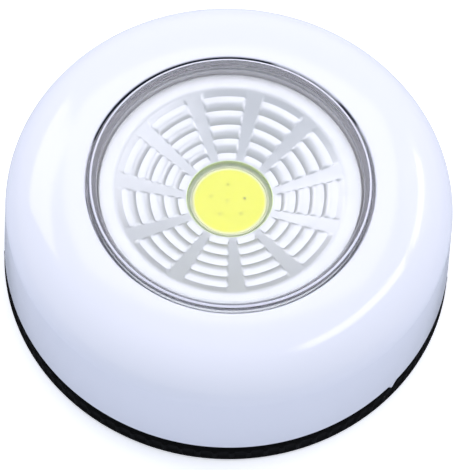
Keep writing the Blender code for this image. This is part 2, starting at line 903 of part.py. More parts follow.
def reflector_outline(pressed):
    """Section of the reflector, through a sector of stepped arcs if pressed, or through a smooth spoke."""
    top = [(hub_radius, hub_top)]
    for ring in range(ring_count):
        crease = first_crease + ring * ring_pitch
        start = crease - tread_width
        top.append((start, bowl_height(start)))
        top.append((crease, bowl_height(start if pressed else crease)))
        top.append((crease + riser_width, bowl_height(crease + riser_width)))
    top.append((bowl_radius - bowl_round, bowl_height(bowl_radius - bowl_round)))
    band = [
        (bowl_radius, bowl_top),
        (reflector_radius - band_edge, bowl_top),
        (reflector_radius, bowl_top - band_edge),
        (reflector_radius, board_bottom),
        (reflector_radius - reflector_wall, board_bottom),
        (reflector_radius - reflector_wall, under_height(bowl_radius)),
    ]
    under_step = (bowl_radius - hub_radius) / under_rows
    under = []
    for row in range(under_rows):
        radius = bowl_radius - row * under_step
        under.append((radius, under_height(radius)))
    return top + band + under + [(hub_radius, hub_bottom)]


def make_reflector(parent, finish):
    """Stepped reflector bowl: five rings of pressed arcs in eleven sectors, on a wall and three posts."""
    sector = math.tau / sector_count
    half_span = sector * sector_span_share / 2
    shares = (-1 + sector_end_share, 0, 1 - sector_end_share)
    columns = []
    for index in range(sector_count):
        middle = first_sector_turn + index * sector
        columns.append((middle - sector / 2, False))
        columns.append((middle - half_span, False))
        columns += [(middle + half_span * share, True) for share in shares]
        columns.append((middle + half_span, False))
    shape = bmesh.new()
    rings = []
    for turn, pressed in columns:
        ring = []
        for radius, height in reflector_outline(pressed):
            place = polar(radius, turn)
            ring.append(shape.verts.new((place.x, place.y, height)))
        rings.append(ring)
    for ring, following in zip(rings, rings[1:] + rings[:1]):
        for a, b, c, d in zip(ring, ring[1:] + ring[:1], following[1:] + following[:1], following):
            shape.faces.new((a, b, c, d))
    reflector = finish_mesh("reflector", shape, finish, parent, crease_angle)
    post_top = bowl_height(post_distance - post_radius - tread_width) - chip_gap
    places = [polar(post_distance, corner_turn(index)) for index in range(cell_count)]
    post = bored_rod(post_radius, board_bottom, post_top, board_bottom + post_bore_depth)
    combine(reflector, turned_tool("post_tool", post, places), "UNION")


def make_lens(parent, finish):
    """Clear lens: a flat disc with a rounded rim, a skirt round the reflector and a flange under the roof."""
    edge = quarter(
        (lens_radius - lens_edge, lens_top - lens_edge), lens_edge, lens_edge, 0, math.pi / 2, edge_steps
    )
    spigot_bottom = flange_bottom - lens_spigot
    outline = [
        (0, lens_bottom),
        (lens_inner, lens_bottom),
        (lens_inner, spigot_bottom),
        (lens_radius, spigot_bottom),
        (lens_radius, flange_bottom),
        (flange_radius, flange_bottom),
        (flange_radius, flange_top),
        (lens_radius, flange_top),
        *edge,
        (0, lens_top),
    ]
    turned_piece("lens", outline, finish, parent)


def make_leads(parent, red, black, body):
    """Insulated leads, and the resistor between the minus terminal and the board."""
    corner = cell_count - 1
    pin_level = switch_bottom - pin_length / 2
    board_end = board_bottom - seat_gap
    spacing = 3 * lead_radius
    pin_side = pin_pitch + pin_width / 2 + seat_gap + lead_radius

    low_level = strip_bottom - seat_gap - lead_radius
    start = bay_point(0, plus_plate + strip_thickness / 2, plate_inner + lead_radius)
    middle = corner_point(corner, post_distance, lead_radius + seat_gap)
    route = [
        Vector((*start, low_level)),
        Vector((*corner_point(corner, (start.length + post_distance) / 2, 2 * lead_radius), low_level)),
        Vector((*middle, (low_level + pin_level) / 2)),
        Vector((pin_side + lead_straight, 0, pin_level)),
        Vector((pin_side, 0, pin_level)),
    ]
    tube("battery_lead", smooth_route(route, spacing), lead_radius, red, parent, lead_resolution)

    red_hole, black_hole = lead_places
    start = Vector((-pin_side, 0))
    route = [
        Vector((*start, pin_level)),
        Vector((*(start + (red_hole - start) * 2 / 3), pin_level)),
        Vector((*red_hole, pin_level + lead_drop)),
        Vector((*red_hole, (pin_level + board_end) / 2 + lead_drop)),
        Vector((*red_hole, board_end)),
    ]
    tube("red_lead", smooth_route(route, spacing), lead_radius, red, parent, lead_resolution)

    outer_end = bay_point(corner, -minus_plate - strip_thickness / 2, plate_inner + resistor_radius)
    way = (black_hole - outer_end).normalized()
    reach = (black_hole - outer_end).length - lead_bend - seat_gap
    resistor_stub = (reach - resistor_length) / 2
    level = rim_top + seat_gap + resistor_radius
    inner_end = outer_end + way * (reach + seat_gap)
    step = resistor_radius - resistor_waist
    waist = resistor_stub + resistor_length / 4
    outline = [
        (0, 0),
        (stub_radius, 0),
        (stub_radius, resistor_stub),
        (resistor_radius, resistor_stub),
        (resistor_radius, waist),
        (resistor_waist, waist + step),
        (resistor_waist, reach - waist - step),
        (resistor_radius, reach - waist),
        (resistor_radius, reach - resistor_stub),
        (stub_radius, reach - resistor_stub),
        (stub_radius, reach),
        (0, reach),
    ]
    resistor = turned_piece("resistor", outline, body, parent, narrow_segments)
    resistor.location = (outer_end.x, outer_end.y, level)
    resistor.rotation_euler = (0, math.pi / 2, math.atan2(way.y, way.x))
    route = [
        Vector((*inner_end, level)),
        Vector((*((inner_end + black_hole * 3) / 4), level + lead_radius)),
        Vector((*black_hole, level + lead_drop)),
        Vector((*black_hole, (level + board_end) / 2 + lead_drop)),
        Vector((*black_hole, board_end)),
    ]
    tube("black_lead", smooth_route(route, spacing), lead_radius, black, parent, lead_resolution)


def empty(name, parent=None):
    item = bpy.data.objects.new(name, None)
    bpy.context.scene.collection.objects.link(item)
    item.parent = parent
    return item


for old in list(bpy.data.objects):
    bpy.data.objects.remove(old, do_unlink=True)

boss_distance = inner_wall_at(frame_top) - boss_radius
lead_places = [
    corner_point(0, lead_distance, 0),
    corner_point(cell_count - 1, lead_distance, -lead_side),
]

white_abs = material("white_abs", (0.84, 0.86, 0.9), 0.22)
black_abs = material("black_abs", (0.02, 0.02, 0.023), 0.4)
grey_abs = material("grey_abs", (0.45, 0.46, 0.48), 0.5)
clear_acrylic = material("clear_acrylic", (0.95, 0.97, 1.0), 0.05, transmission=1.0)
silvered = material("silvered_plastic", (0.78, 0.79, 0.8), 0.25, metallic=1.0)
foam = material("adhesive_foam", (0.8, 0.8, 0.78), 0.9)
phosphor = material("phosphor", (0.95, 0.85, 0.2), 0.5)
dam_white = material("dam_silicone", (0.85, 0.85, 0.8), 0.5)
aluminium = material("board_aluminium", (0.75, 0.76, 0.77), 0.35, metallic=1.0)
nickel = material("nickel_strip", (0.7, 0.68, 0.64), 0.3, metallic=1.0)
steel = material("screw_steel", (0.55, 0.55, 0.56), 0.3, metallic=1.0)
cell_jacket = material("cell_jacket", (0.12, 0.13, 0.15), 0.35)
switch_black = material("switch_black", (0.03, 0.03, 0.03), 0.45)
red_pvc = material("red_insulation", (0.55, 0.03, 0.02), 0.45)
black_pvc = material("black_insulation", (0.02, 0.02, 0.02), 0.45)
resistor_blue = material("resistor_lacquer", (0.15, 0.35, 0.55), 0.4)

base_axis = empty("base_axis")
head_axis = empty("head_axis", base_axis)
button_axis = empty("button_axis", head_axis)
plunger_axis = empty("plunger_axis", head_axis)

turned_piece("adhesive_pad", rod(pad_radius, 0, pad_thickness), foam, base_axis, board_segments)
make_base(base_axis, black_abs)
make_housing(head_axis, white_abs)
make_frame(head_axis, grey_abs)
for number in range(cell_count):
    make_cell(number, head_axis, cell_jacket)
    make_cell_spring(number, head_axis, nickel)
make_contacts(head_axis, nickel)
make_switch(head_axis, plunger_axis, switch_black, white_abs)
make_return_spring(head_axis, steel)
make_carrier(button_axis, grey_abs)
make_board(button_axis, aluminium, dam_white, phosphor)
make_reflector(button_axis, silvered)
make_lens(button_axis, clear_acrylic)
for number in range(cell_count):
    head_bottom = roof_bottom - seat_gap - screw_head_height
    make_screw(
        f"frame_screw_{number + 1}",
        polar(boss_distance, cell_turn(number)),
        head_bottom,
        frame_top + screw_grip,
        head_axis,
        steel,
    )
    head_bottom = carrier_bottom - chip_gap - screw_head_height
    make_screw(
        f"reflector_screw_{number + 1}",
        polar(post_distance, corner_turn(number)),
        head_bottom,
        board_bottom + post_bore_depth - seat_gap,
        button_axis,
        steel,
    )
make_leads(head_axis, red_pvc, black_pvc, resistor_blue)
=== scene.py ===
import math

import bmesh
import bpy
from mathutils import Matrix, Vector


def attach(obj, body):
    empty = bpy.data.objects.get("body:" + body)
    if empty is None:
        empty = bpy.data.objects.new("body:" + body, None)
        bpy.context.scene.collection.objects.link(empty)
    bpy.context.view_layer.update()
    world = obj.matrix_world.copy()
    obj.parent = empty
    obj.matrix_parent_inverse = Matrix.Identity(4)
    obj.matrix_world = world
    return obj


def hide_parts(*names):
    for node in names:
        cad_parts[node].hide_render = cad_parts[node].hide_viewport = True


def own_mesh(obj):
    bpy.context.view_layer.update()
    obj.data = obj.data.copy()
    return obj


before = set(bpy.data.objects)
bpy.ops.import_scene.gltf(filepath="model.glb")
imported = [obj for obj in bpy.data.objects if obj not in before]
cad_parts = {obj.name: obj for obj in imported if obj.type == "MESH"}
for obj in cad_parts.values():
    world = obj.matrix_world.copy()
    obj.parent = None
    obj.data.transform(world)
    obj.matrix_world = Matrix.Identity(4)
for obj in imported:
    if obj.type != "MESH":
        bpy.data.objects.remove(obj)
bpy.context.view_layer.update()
mm = 0.001   # the settings of pieces are in mm and degrees
cellTurns = [math.radians(90 + 120 * index) for index in range(3)]   # where the cells lie, and the corners between them
cornerTurns = [turn + math.radians(60) for turn in cellTurns]
print("frame loaded:", len(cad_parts), "nodes")


# Node helpers

# A value inside a node tree, with which sums can be written plainly
class Term:
    def __init__(self, socket):
        self.socket = socket

    def __add__(self, other):
        return calc("ADD", self, other)

    def __sub__(self, other):
        return calc("SUBTRACT", self, other)

    def __rsub__(self, other):
        return calc("SUBTRACT", other, self)

    def __mul__(self, other):
        return calc("MULTIPLY", self, other)

    def __truediv__(self, other):
        return calc("DIVIDE", self, other)

    def __rtruediv__(self, other):
        return calc("DIVIDE", other, self)

    def __pow__(self, other):
        return calc("POWER", self, other)

    __radd__ = __add__
    __rmul__ = __mul__


# Link a socket, or set its value
def feed(socket, value):
    if isinstance(value, Term):
        value = value.socket
    if isinstance(value, bpy.types.NodeSocket):
        socket.id_data.links.new(value, socket)
    elif socket.type == "RGBA":
        socket.default_value = (*value, 1)
    else:
        socket.default_value = value


# A new node, its settings by name and its inputs by name or number
def addNode(tree, kind, inputs=(), **settings):
    node = tree.nodes.new(kind)
    for name, value in settings.items():
        setattr(node, name, value)
    for title, value in dict(inputs).items():
        feed(node.inputs[title], value)
    return node


# One output of a new node, by its number or name
def addTerm(tree, kind, inputs=(), output=0, **settings):
    return Term(addNode(tree, kind, inputs, **settings).outputs[output])


def termsOf(node):
    return {socket.name: Term(socket) for socket in node.outputs}


def calc(operation, *values):
    tree = next(value.socket.id_data for value in values if isinstance(value, Term))
    return addTerm(tree, "ShaderNodeMath", enumerate(values), operation=operation)


def mixColour(share, first, second):
    inputs = {"Factor": share, 6: first, 7: second}
    return addTerm(share.socket.id_data, "ShaderNodeMix", inputs, 2, data_type="RGBA")


# Map a value from one range to another, clamped, with a soft start and end
def ramp(value, low, high, start=0.0, end=1.0):
    inputs = enumerate((value, low, high, start, end))
    return addTerm(value.socket.id_data, "ShaderNodeMapRange", inputs, interpolation_type="SMOOTHSTEP")


# The same over a span in mm
def fade(value, span, start=0.0, end=1.0):
    return ramp(value, span[0] * mm, span[1] * mm, start, end)


def splitPlace(place):
    return [Term(socket) for socket in addNode(place.socket.id_data, "ShaderNodeSeparateXYZ", {0: place}).outputs]


def joinPlace(tree, x=0.0, y=0.0, z=0.0):
    return addTerm(tree, "ShaderNodeCombineXYZ", enumerate((x, y, z)))


def objectPlace(tree):
    return addTerm(tree, "ShaderNodeTexCoord", output="Object")


# Distance of a shaded point from the light's own axis
def axisDistance(tree):
    x, y = splitPlace(objectPlace(tree))[:2]
    return calc("SQRT", x**2.0 + y**2.0)


# 1 for rays from the camera, or off or through a shiny surface, and 0 for those that light things
def seenRays(path):
    shiny = calc("MAXIMUM", path["Is Glossy Ray"], path["Is Transmission Ray"])
    return calc("MAXIMUM", path["Is Camera Ray"], shiny)


# Feed inputs of a shader; underscores stand for the spaces of their names
def dress(shader, **values):
    for title, value in values.items():
        feed(shader.inputs[title.replace("_", " ")], value)


def newFinish(name, **values):
    finish = bpy.data.materials.new(name)
    finish.use_nodes = True
    shader = finish.node_tree.nodes["Principled BSDF"]
    dress(shader, **values)
    return finish, finish.node_tree, shader


# A material's parts, and what feeds its colour, to build on a finish that is there
def openFinish(finish):
    tree = finish.node_tree
    shader = tree.nodes["Principled BSDF"]
    return tree, shader, Term(shader.inputs["Base Color"].links[0].from_socket)


def linkObject(name, data):
    made = bpy.data.objects.new(name, data)
    bpy.context.scene.collection.objects.link(made)
    return made


def pick(setup, *names):
    return [setup[name] for name in names]


# Camera, floor, world and lamps

cameraSetup = {
    "sensorWidth": 36,       # mm
    "focalLength": 242.44,
    "distance": 504 * mm,
    "elevation": 62.23,      # degrees above the floor
    "roll": 3.40,
    "aim": (0, 0, 13.1 * mm),
    "aimRight": 1.05 * mm,   # the light sits a little left of the middle and above it
    "aimUp": -2.39 * mm,
    "clip": (0.01, 20),
}
floorSetup = {
    "size": 6.0,
    "seenColour": (1.0, 1.0, 1.0),
    "seenGlow": 0.42,
    "mirroredColour": (0.58, 0.61, 0.65),   # darker in reflections, for the thin grey edge of the shell
    "bounceColour": (0.88, 0.90, 0.96),
}
worldSetup = {
    "horizon": (0.86, 0.88, 0.93),       # what is seen, and what shiny surfaces reflect
    "ceiling": (0.80, 0.86, 0.95),
    "behindCamera": (0.70, 0.76, 0.85),
    "light": (0.615, 0.67, 0.79),        # what the room gives to everything else
    "ceilingFrom": (0.25, 0.65),         # the upward share of a direction, from the horizon's colour to the ceiling's
    "behindFrom": (0.05, 0.45),
}
lampColour = (1.0, 0.94, 0.985)
lampAim = Vector((0, 0, 0.01))
lampSetup = {
    "overheadSoftbox": {"place": (0.0, 0.31, 0.59), "size": (0.40, 0.30), "power": 0.67},
    "rightStripFar": {   # the two strips draw the bright ridge along the right shoulder
        "place": (0.405, 0.285, 0.432), "size": (0.095, 0.25), "power": 0.27, "along": (0.126, -0.88, 0.453),
    },
    "rightStripNear": {
        "place": (0.303, -0.004, 0.555), "size": (0.095, 0.36), "power": 0.47, "along": (-0.593, -0.746, 0.305),
    },
    "backRightSoftbox": {"place": (0.44, 0.33, 0.50), "size": (0.34, 0.34), "power": 0.17},
    "backLeftSoftbox": {"place": (-0.42, 0.33, 0.50), "size": (0.38, 0.34), "power": 0.96},
}


def makeCamera(setup):
    elevation = math.radians(setup["elevation"])
    roll = math.radians(setup["roll"])
    back = Vector((0, -math.cos(elevation), math.sin(elevation)))
    up = Vector((0, math.sin(elevation), math.cos(elevation)))
    right = Vector((1, 0, 0))
    imageRight = right * math.cos(roll) + up * math.sin(roll)
    imageUp = up * math.cos(roll) - right * math.sin(roll)
    aim = Vector(setup["aim"])
    place = aim + back * setup["distance"]
    target = aim + imageRight * setup["aimRight"] + imageUp * setup["aimUp"]
    ahead = (target - place).normalized()
    side = ahead.cross(imageUp).normalized()
    above = side.cross(ahead)
    data = bpy.data.cameras.new("photoCamera")
    data.sensor_width = setup["sensorWidth"]
    data.lens = setup["focalLength"]
    data.clip_start, data.clip_end = setup["clip"]
    camera = linkObject("photoCamera", data)
    camera.matrix_world = Matrix.Translation(place) @ Matrix((side, above, -ahead)).transposed().to_4x4()
    bpy.context.scene.camera = camera


def makeFloor(setup):
    half = setup["size"] / 2
    mesh = bpy.data.meshes.new("floor")
    mesh.from_pydata([(-half, -half, 0), (half, -half, 0), (half, half, 0), (-half, half, 0)], [], [(0, 1, 2, 3)])
    floor = linkObject("floor", mesh)
    paper, tree, shader = newFinish("paleFloor", Roughness=0.9, Specular_IOR_Level=0.0, Emission_Color=(1, 1, 1))
    path = termsOf(addNode(tree, "ShaderNodeLightPath"))
    tone = mixColour(seenRays(path), setup["bounceColour"], setup["seenColour"])
    dress(
        shader, Base_Color=mixColour(path["Is Glossy Ray"], tone, setup["mirroredColour"]),
        Emission_Strength=path["Is Camera Ray"] * setup["seenGlow"],
    )
    mesh.materials.append(paper)


def makeWorld(setup):
    world = bpy.data.worlds.new("studio")
    world.use_nodes = True
    bpy.context.scene.world = world
    tree = world.node_tree
    y, z = splitPlace(addTerm(tree, "ShaderNodeTexCoord", output="Generated"))[1:]
    overhead = mixColour(ramp(y * -1.0, *setup["behindFrom"]), setup["ceiling"], setup["behindCamera"])
    room = mixColour(ramp(z, *setup["ceilingFrom"]), setup["horizon"], overhead)
    seen = seenRays(termsOf(addNode(tree, "ShaderNodeLightPath")))
    feed(tree.nodes["Background"].inputs["Color"], mixColour(seen, setup["light"], room))


def makeLamp(name, setup):
    data = bpy.data.lights.new(name, "AREA")
    data.shape = "RECTANGLE"
    data.size, data.size_y = setup["size"]
    data.energy = setup["power"]
    data.color = lampColour
    lamp = linkObject(name, data)
    lamp.location = setup["place"]
    back = (lamp.location - lampAim).normalized()
    along = Vector(setup.get("along", (0, 0, 1)))   # where the second side of its size points
    along = (along - back * along.dot(back)).normalized()
    lamp.rotation_euler = Matrix((along.cross(back), along, back)).transposed().to_euler()


makeCamera(cameraSetup)
makeFloor(floorSetup)
makeWorld(worldSetup)
for lampName, lamp in lampSetup.items():
    makeLamp(lampName, lamp)
bpy.context.scene.view_settings.view_transform = "Standard"
print("camera, floor, world and lamps placed")


# Shader groups that several finishes use

def newGroup(name, inputs, outputs):
    group = bpy.data.node_groups.new(name, "ShaderNodeTree")
    for title, value in inputs.items():
        group.interface.new_socket(title, in_out="INPUT", socket_type="NodeSocketFloat").default_value = value
    for title in outputs:
        group.interface.new_socket(title, in_out="OUTPUT", socket_type="NodeSocketFloat")
    return group, termsOf(addNode(group, "NodeGroupInput")), addNode(group, "NodeGroupOutput").inputs


def noise(place, scale, detail, roughness=0.55):
    inputs = {"Vector": place, "Scale": scale, "Detail": detail, "Roughness": roughness}
    return addTerm(place.socket.id_data, "ShaderNodeTexNoise", inputs)


# Broad tone drift, fine moulded grain, and a sparse dulling of the gloss
def makeMouldedSkin():
    group, given, made = newGroup(
        "mouldedSkin", {"Drift Scale": 40.0, "Grain Scale": 2500.0}, ("Drift", "Grain", "Dulling")
    )
    place = objectPlace(group)
    feed(made["Drift"], noise(place, given["Drift Scale"], 2.0))
    feed(made["Grain"], noise(place, given["Grain Scale"], 2.0))
    feed(made["Dulling"], ramp(noise(place, given["Drift Scale"] * 4.0, 5.0, 0.65), 0.5, 0.75))
    return group


# Small scattered specks, more of them where the amount is higher
def makeDustSpecks():
    group, given, made = newGroup("dustSpecks", {"Scale": 1200.0, "Amount": 0.1}, ("Specks",))
    cells = termsOf(addNode(group, "ShaderNodeTexVoronoi", {"Vector": objectPlace(group), "Scale": given["Scale"]}))
    chance = addTerm(group, "ShaderNodeSeparateColor", {0: cells["Color"]})
    kept = calc("LESS_THAN", chance, given["Amount"])
    feed(made["Specks"], ramp(cells["Distance"], 0.08, 0.22, 1.0, 0.0) * kept)
    return group


# Fine scratches in two directions
def makeHairlines():
    group, given, made = newGroup("hairlines", {"Scale": 300.0, "Stretch": 0.06}, ("Lines",))
    found = []
    for turn in (0.4, 2.1):
        turned = addTerm(group, "ShaderNodeMapping", {
            "Vector": objectPlace(group), "Rotation": (0.3, 0.2, turn),
            "Scale": joinPlace(group, given["Stretch"], 1.0, 1.0),
        })
        found.append(ramp(noise(turned, given["Scale"], 4.0, 0.7), 0.62, 0.72))
    feed(made["Lines"], calc("MAXIMUM", *found))
    return group


mouldedSkin = makeMouldedSkin()
dustSpecks = makeDustSpecks()
hairlines = makeHairlines()


# Put a shared group in a material with its own values; underscores stand for the spaces of their names
def useGroup(tree, group, **values):
    inputs = {title.replace("_", " "): value for title, value in values.items()}
    return termsOf(addNode(tree, "ShaderNodeGroup", inputs, node_tree=group))


def bump(height, strength, distance):
    inputs = {"Height": height, "Strength": strength, "Distance": distance}
    return addTerm(height.socket.id_data, "ShaderNodeBump", inputs)


# Moulded plastic: tone drifts between two near colours, gloss varies, grain is faint
def mouldedPlastic(name, colour, shade, roughness, grainDepth=0.02, driftScale=40.0, **values):
    finish, tree, shader = newFinish(name, **values)
    skin = useGroup(tree, mouldedSkin, Drift_Scale=driftScale)
    dull = skin["Dulling"] * (roughness[1] - roughness[0]) + roughness[0]
    dress(
        shader, Base_Color=mixColour(skin["Drift"], colour, shade),
        Roughness=useGroup(tree, hairlines)["Lines"] * 0.04 + dull, Normal=bump(skin["Grain"], grainDepth, 0.2 * mm),
    )
    return finish


# Plated or machined metal with fine lines, dull patches and a little dust
def drawnMetal(name, colour, shade, roughness):
    finish, tree, shader = newFinish(name, Metallic=1.0)
    skin = useGroup(tree, mouldedSkin, Drift_Scale=90.0)
    lines = useGroup(tree, hairlines, Scale=500.0)["Lines"]
    specks = useGroup(tree, dustSpecks, Amount=0.06)["Specks"]
    dull = skin["Dulling"] * (roughness[1] - roughness[0]) + roughness[0]
    dress(
        shader, Base_Color=mixColour(specks * 0.5, mixColour(skin["Drift"], colour, shade), (0.3, 0.3, 0.3)),
        Roughness=lines * 0.1 + dull, Normal=bump(lines, 0.15, 0.05 * mm),
    )
    return finish


print("shader groups made")


# Mesh helpers

# Points (radius, height) of part of an ellipse, from one angle to another in degrees
def arc(centre, across, up, start, end, steps):
    turns = [math.radians(start + (end - start) * step / steps) for step in range(steps + 1)]
    return [(centre[0] + across * math.cos(turn), centre[1] + up * math.sin(turn)) for turn in turns]


# Points from the first to the last, along a bend that the middle point pulls at
def bend(first, middle, last, steps):
    points = []
    for step in range(steps + 1):
        share = step / steps
        point = first * (1 - share) ** 2 + middle * 2 * share * (1 - share) + last * share**2
        points.append((point.x, point.y))
    return points


# An outline whose sharp corners are rounded; a corner given with a third value keeps that radius
def rounded(corners, radius, steps=4):
    made = []
    for index, corner in enumerate(corners):
        here = Vector(corner[:2])
        before = Vector(corners[index - 1][:2]) - here
        after = Vector(corners[(index + 1) % len(corners)][:2]) - here
        size = corner[2] if len(corner) > 2 else radius
        reach = min(size, before.length * 0.45, after.length * 0.45)
        if reach <= 0 or here.x < 1e-9:
            made.append((here.x, here.y))
        else:
            made += bend(here + before.normalized() * reach, here, here + after.normalized() * reach, steps)
    return made


def polar(radius, turn):
    return (radius * math.cos(turn), radius * math.sin(turn))


# Turn an outline of (radius, height) in mm about the vertical through a place in plan
def addLathe(shape, outline, steps, closed=True, middle=(0, 0)):
    rings = []
    for radius, height in outline:
        turns = [step * math.tau / steps for step in range(1 if radius < 1e-9 else steps)]
        rings.append([shape.verts.new((
            (middle[0] + radius * math.cos(turn)) * mm, (middle[1] + radius * math.sin(turn)) * mm, height * mm
        )) for turn in turns])
    pairs = list(zip(rings, rings[1:]))
    if closed:
        pairs.append((rings[-1], rings[0]))
    for one, two in pairs:
        for step in range(steps if len(one) + len(two) > 2 else 0):
            following = step + 1
            corners = (one[step % len(one)], one[following % len(one)], two[following % len(two)], two[step % len(two)])
            shape.faces.new(dict.fromkeys(corners))   # a pole's corner comes once


# Join rings of points, in mm, into a closed solid
def addLoft(shape, rings):
    made = [[shape.verts.new([value * mm for value in point]) for point in ring] for ring in rings]
    for one, two in zip(made, made[1:]):
        for corners in zip(one, one[1:] + one[:1], two[1:] + two[:1], two):
            shape.faces.new(corners)
    shape.faces.new(made[0])
    shape.faces.new(made[-1])


# Turn a section part of the way round, with closed ends; angles in radians
def addWedge(shape, section, start, end, steps):
    turns = [start + (end - start) * step / steps for step in range(steps + 1)]
    addLoft(shape, [[(*polar(radius, turn), height) for radius, height in section] for turn in turns])


# Extrude an outline in plan
def addPrism(shape, outline, bottom, top):
    addLoft(shape, [[(x, y, height) for x, y in outline] for height in (bottom, top)])


def boxSection(inner, outer, bottom, top):
    return [(inner, bottom), (outer, bottom), (outer, top), (inner, top)]


# The outline of a post with a blind bore from below
def boredPost(bore, radius, bottom, boreTop, top):
    return [(0, boreTop), (bore, boreTop), (bore, bottom), (radius, bottom), (radius, top), (0, top)]


def newPiece(name, shape=None):
    piece = linkObject(name, bpy.data.meshes.new(name))
    if shape:
        shape.to_mesh(piece.data)
        shape.free()
    return piece


def smoothFaces(mesh, sharp):
    mesh.shade_smooth()
    mesh.set_sharp_from_angle(angle=math.radians(sharp))


def finishPiece(name, shape, finish=None, sharp=32):
    bmesh.ops.remove_doubles(shape, verts=shape.verts, dist=1e-7)
    bmesh.ops.recalc_face_normals(shape, faces=shape.faces)
    piece = newPiece(name, shape)
    smoothFaces(piece.data, sharp)
    if finish:
        piece.data.materials.append(finish)
    return piece


def lathePiece(name, outline, finish=None, steps=256):
    shape = bmesh.new()
    addLathe(shape, outline, steps)
    return finishPiece(name, shape, finish)


# Replace a piece's mesh by what its modifiers make of it, and remove them
def keepEvaluated(piece, sharp=32):
    seen = piece.evaluated_get(bpy.context.evaluated_depsgraph_get())
    mesh = bpy.data.meshes.new_from_object(seen)
    piece.modifiers.clear()
    old = piece.data
    piece.data = mesh
    bpy.data.meshes.remove(old)
    smoothFaces(mesh, sharp)


# Unite the piece with a tool, or cut it by one, and keep the result as its mesh
def weldOn(piece, shape, operation="UNION"):
    tool = finishPiece(piece.name + "Tool", shape)
    step = piece.modifiers.new("weldOn", "BOOLEAN")
    step.operation = operation
    step.solver = "EXACT"
    step.object = tool
    keepEvaluated(piece)
    bpy.data.objects.remove(tool)


# Attach a piece to the body it rides, and hide the CAD nodes it stands for
def declare(piece, body, slot, *nodes):
    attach(piece, body)
    if nodes:
        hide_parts(*nodes)


# A Geometry Nodes tree with its named whole-number and decimal inputs
def startTree(name, counts, sizes):
    tree = bpy.data.node_groups.new(name, "GeometryNodeTree")
    kinds = [("Geometry", "Geometry"), *[(title, "Int") for title in counts], *[(title, "Float") for title in sizes]]
    for title, kind in (*kinds, ("Finish", "Material")):
        tree.interface.new_socket(title, in_out="INPUT", socket_type="NodeSocket" + kind)
    tree.interface.new_socket("Geometry", in_out="OUTPUT", socket_type="NodeSocketGeometry")
    return tree, termsOf(addNode(tree, "NodeGroupInput"))


def endTree(tree, given, geometry):
    real = addTerm(tree, "GeometryNodeRealizeInstances", {0: geometry})
    painted = addTerm(tree, "GeometryNodeSetMaterial", {"Geometry": real, "Material": given["Finish"]})
    addNode(tree, "NodeGroupOutput", {0: painted})
    return tree


def joinGeometry(tree, *parts):
    joined = addNode(tree, "GeometryNodeJoinGeometry")
    for part in parts:
        feed(joined.inputs[0], part)
    return joined.outputs[0]


def liftUp(tree, geometry, height):
    inputs = {"Geometry": geometry, "Translation": joinPlace(tree, z=height)}
    return addTerm(tree, "GeometryNodeTransform", inputs)


# A wire swept along a curve, with closed ends
def wireAlong(tree, path, sides, radius):
    profile = addTerm(tree, "GeometryNodeCurvePrimitiveCircle", {"Resolution": sides, "Radius": radius})
    inputs = {"Curve": path, "Profile Curve": profile, "Fill Caps": True}
    return addTerm(tree, "GeometryNodeCurveToMesh", inputs)


# Run a Geometry Nodes tree on a piece with its inputs set by name, and keep the result as a plain mesh
def growTree(piece, tree, values, finish, sharp=32):
    step = piece.modifiers.new(tree.name, "NODES")
    step.node_group = tree
    values = {**values, "Finish": finish}
    for socket in tree.interface.items_tree:
        if socket.in_out == "INPUT" and socket.name in values:
            step[socket.identifier] = values[socket.name]
    keepEvaluated(piece, sharp)
    piece.data.materials.clear()
    piece.data.materials.append(finish)
    for polygon in piece.data.polygons:
        polygon.material_index = 0


# Housing: gloss white shell with collar, catches, screw bosses and the pointer

housingSetup = {
    "skirtRadius": 35.88, "skirtBottom": 4.7, "wall": 1.9, "shoulderRadius": 35.28, "shoulderBottom": 18.4,
    "crownRadius": 25.48, "crownHeight": 25.4, "crownStart": 28.0, "top": 25.7, "topSlope": -0.03,
    "opening": 22.6, "openingEdge": 0.32, "ceiling": 24.2, "edgeRound": 0.25, "draft": 0.13,
    "draftHeight": 3, "collarInner": 24.4, "collarOuter": 25.6, "collarBottom": 16.7, "collarRound": 0.15,
    "collarGap": 0.1,                                             # round the collar, where the inside starts to curve
    "catch": (32.1, 34.1, 7.3, 8.7), "catchSpan": (-7, 8.2),      # inner, outer, bottom, top; degrees
    "stop": (32.3, 34.2, 7.1, 10.4), "stopStarts": (7.6, -29.6), "stopSpan": 2,
    "boss": (0.7, 2.2, 15.0, 18.5, 21.5), "bossDistance": 31.3,   # bore, radius, bottom, top of the bore, top
    "slot": (23.4, 26.6, 1.5), "slotHeights": (15.7, 19.0),       # near, far, half width
    "pointerTurn": -40, "pointerHalf": 1.25, "pointerTip": 0.12, "pointerRoot": 0.4, "pointerDrop": 1.4,
    "pointerInset": 0.08, "pointerDeep": 0.7,
}


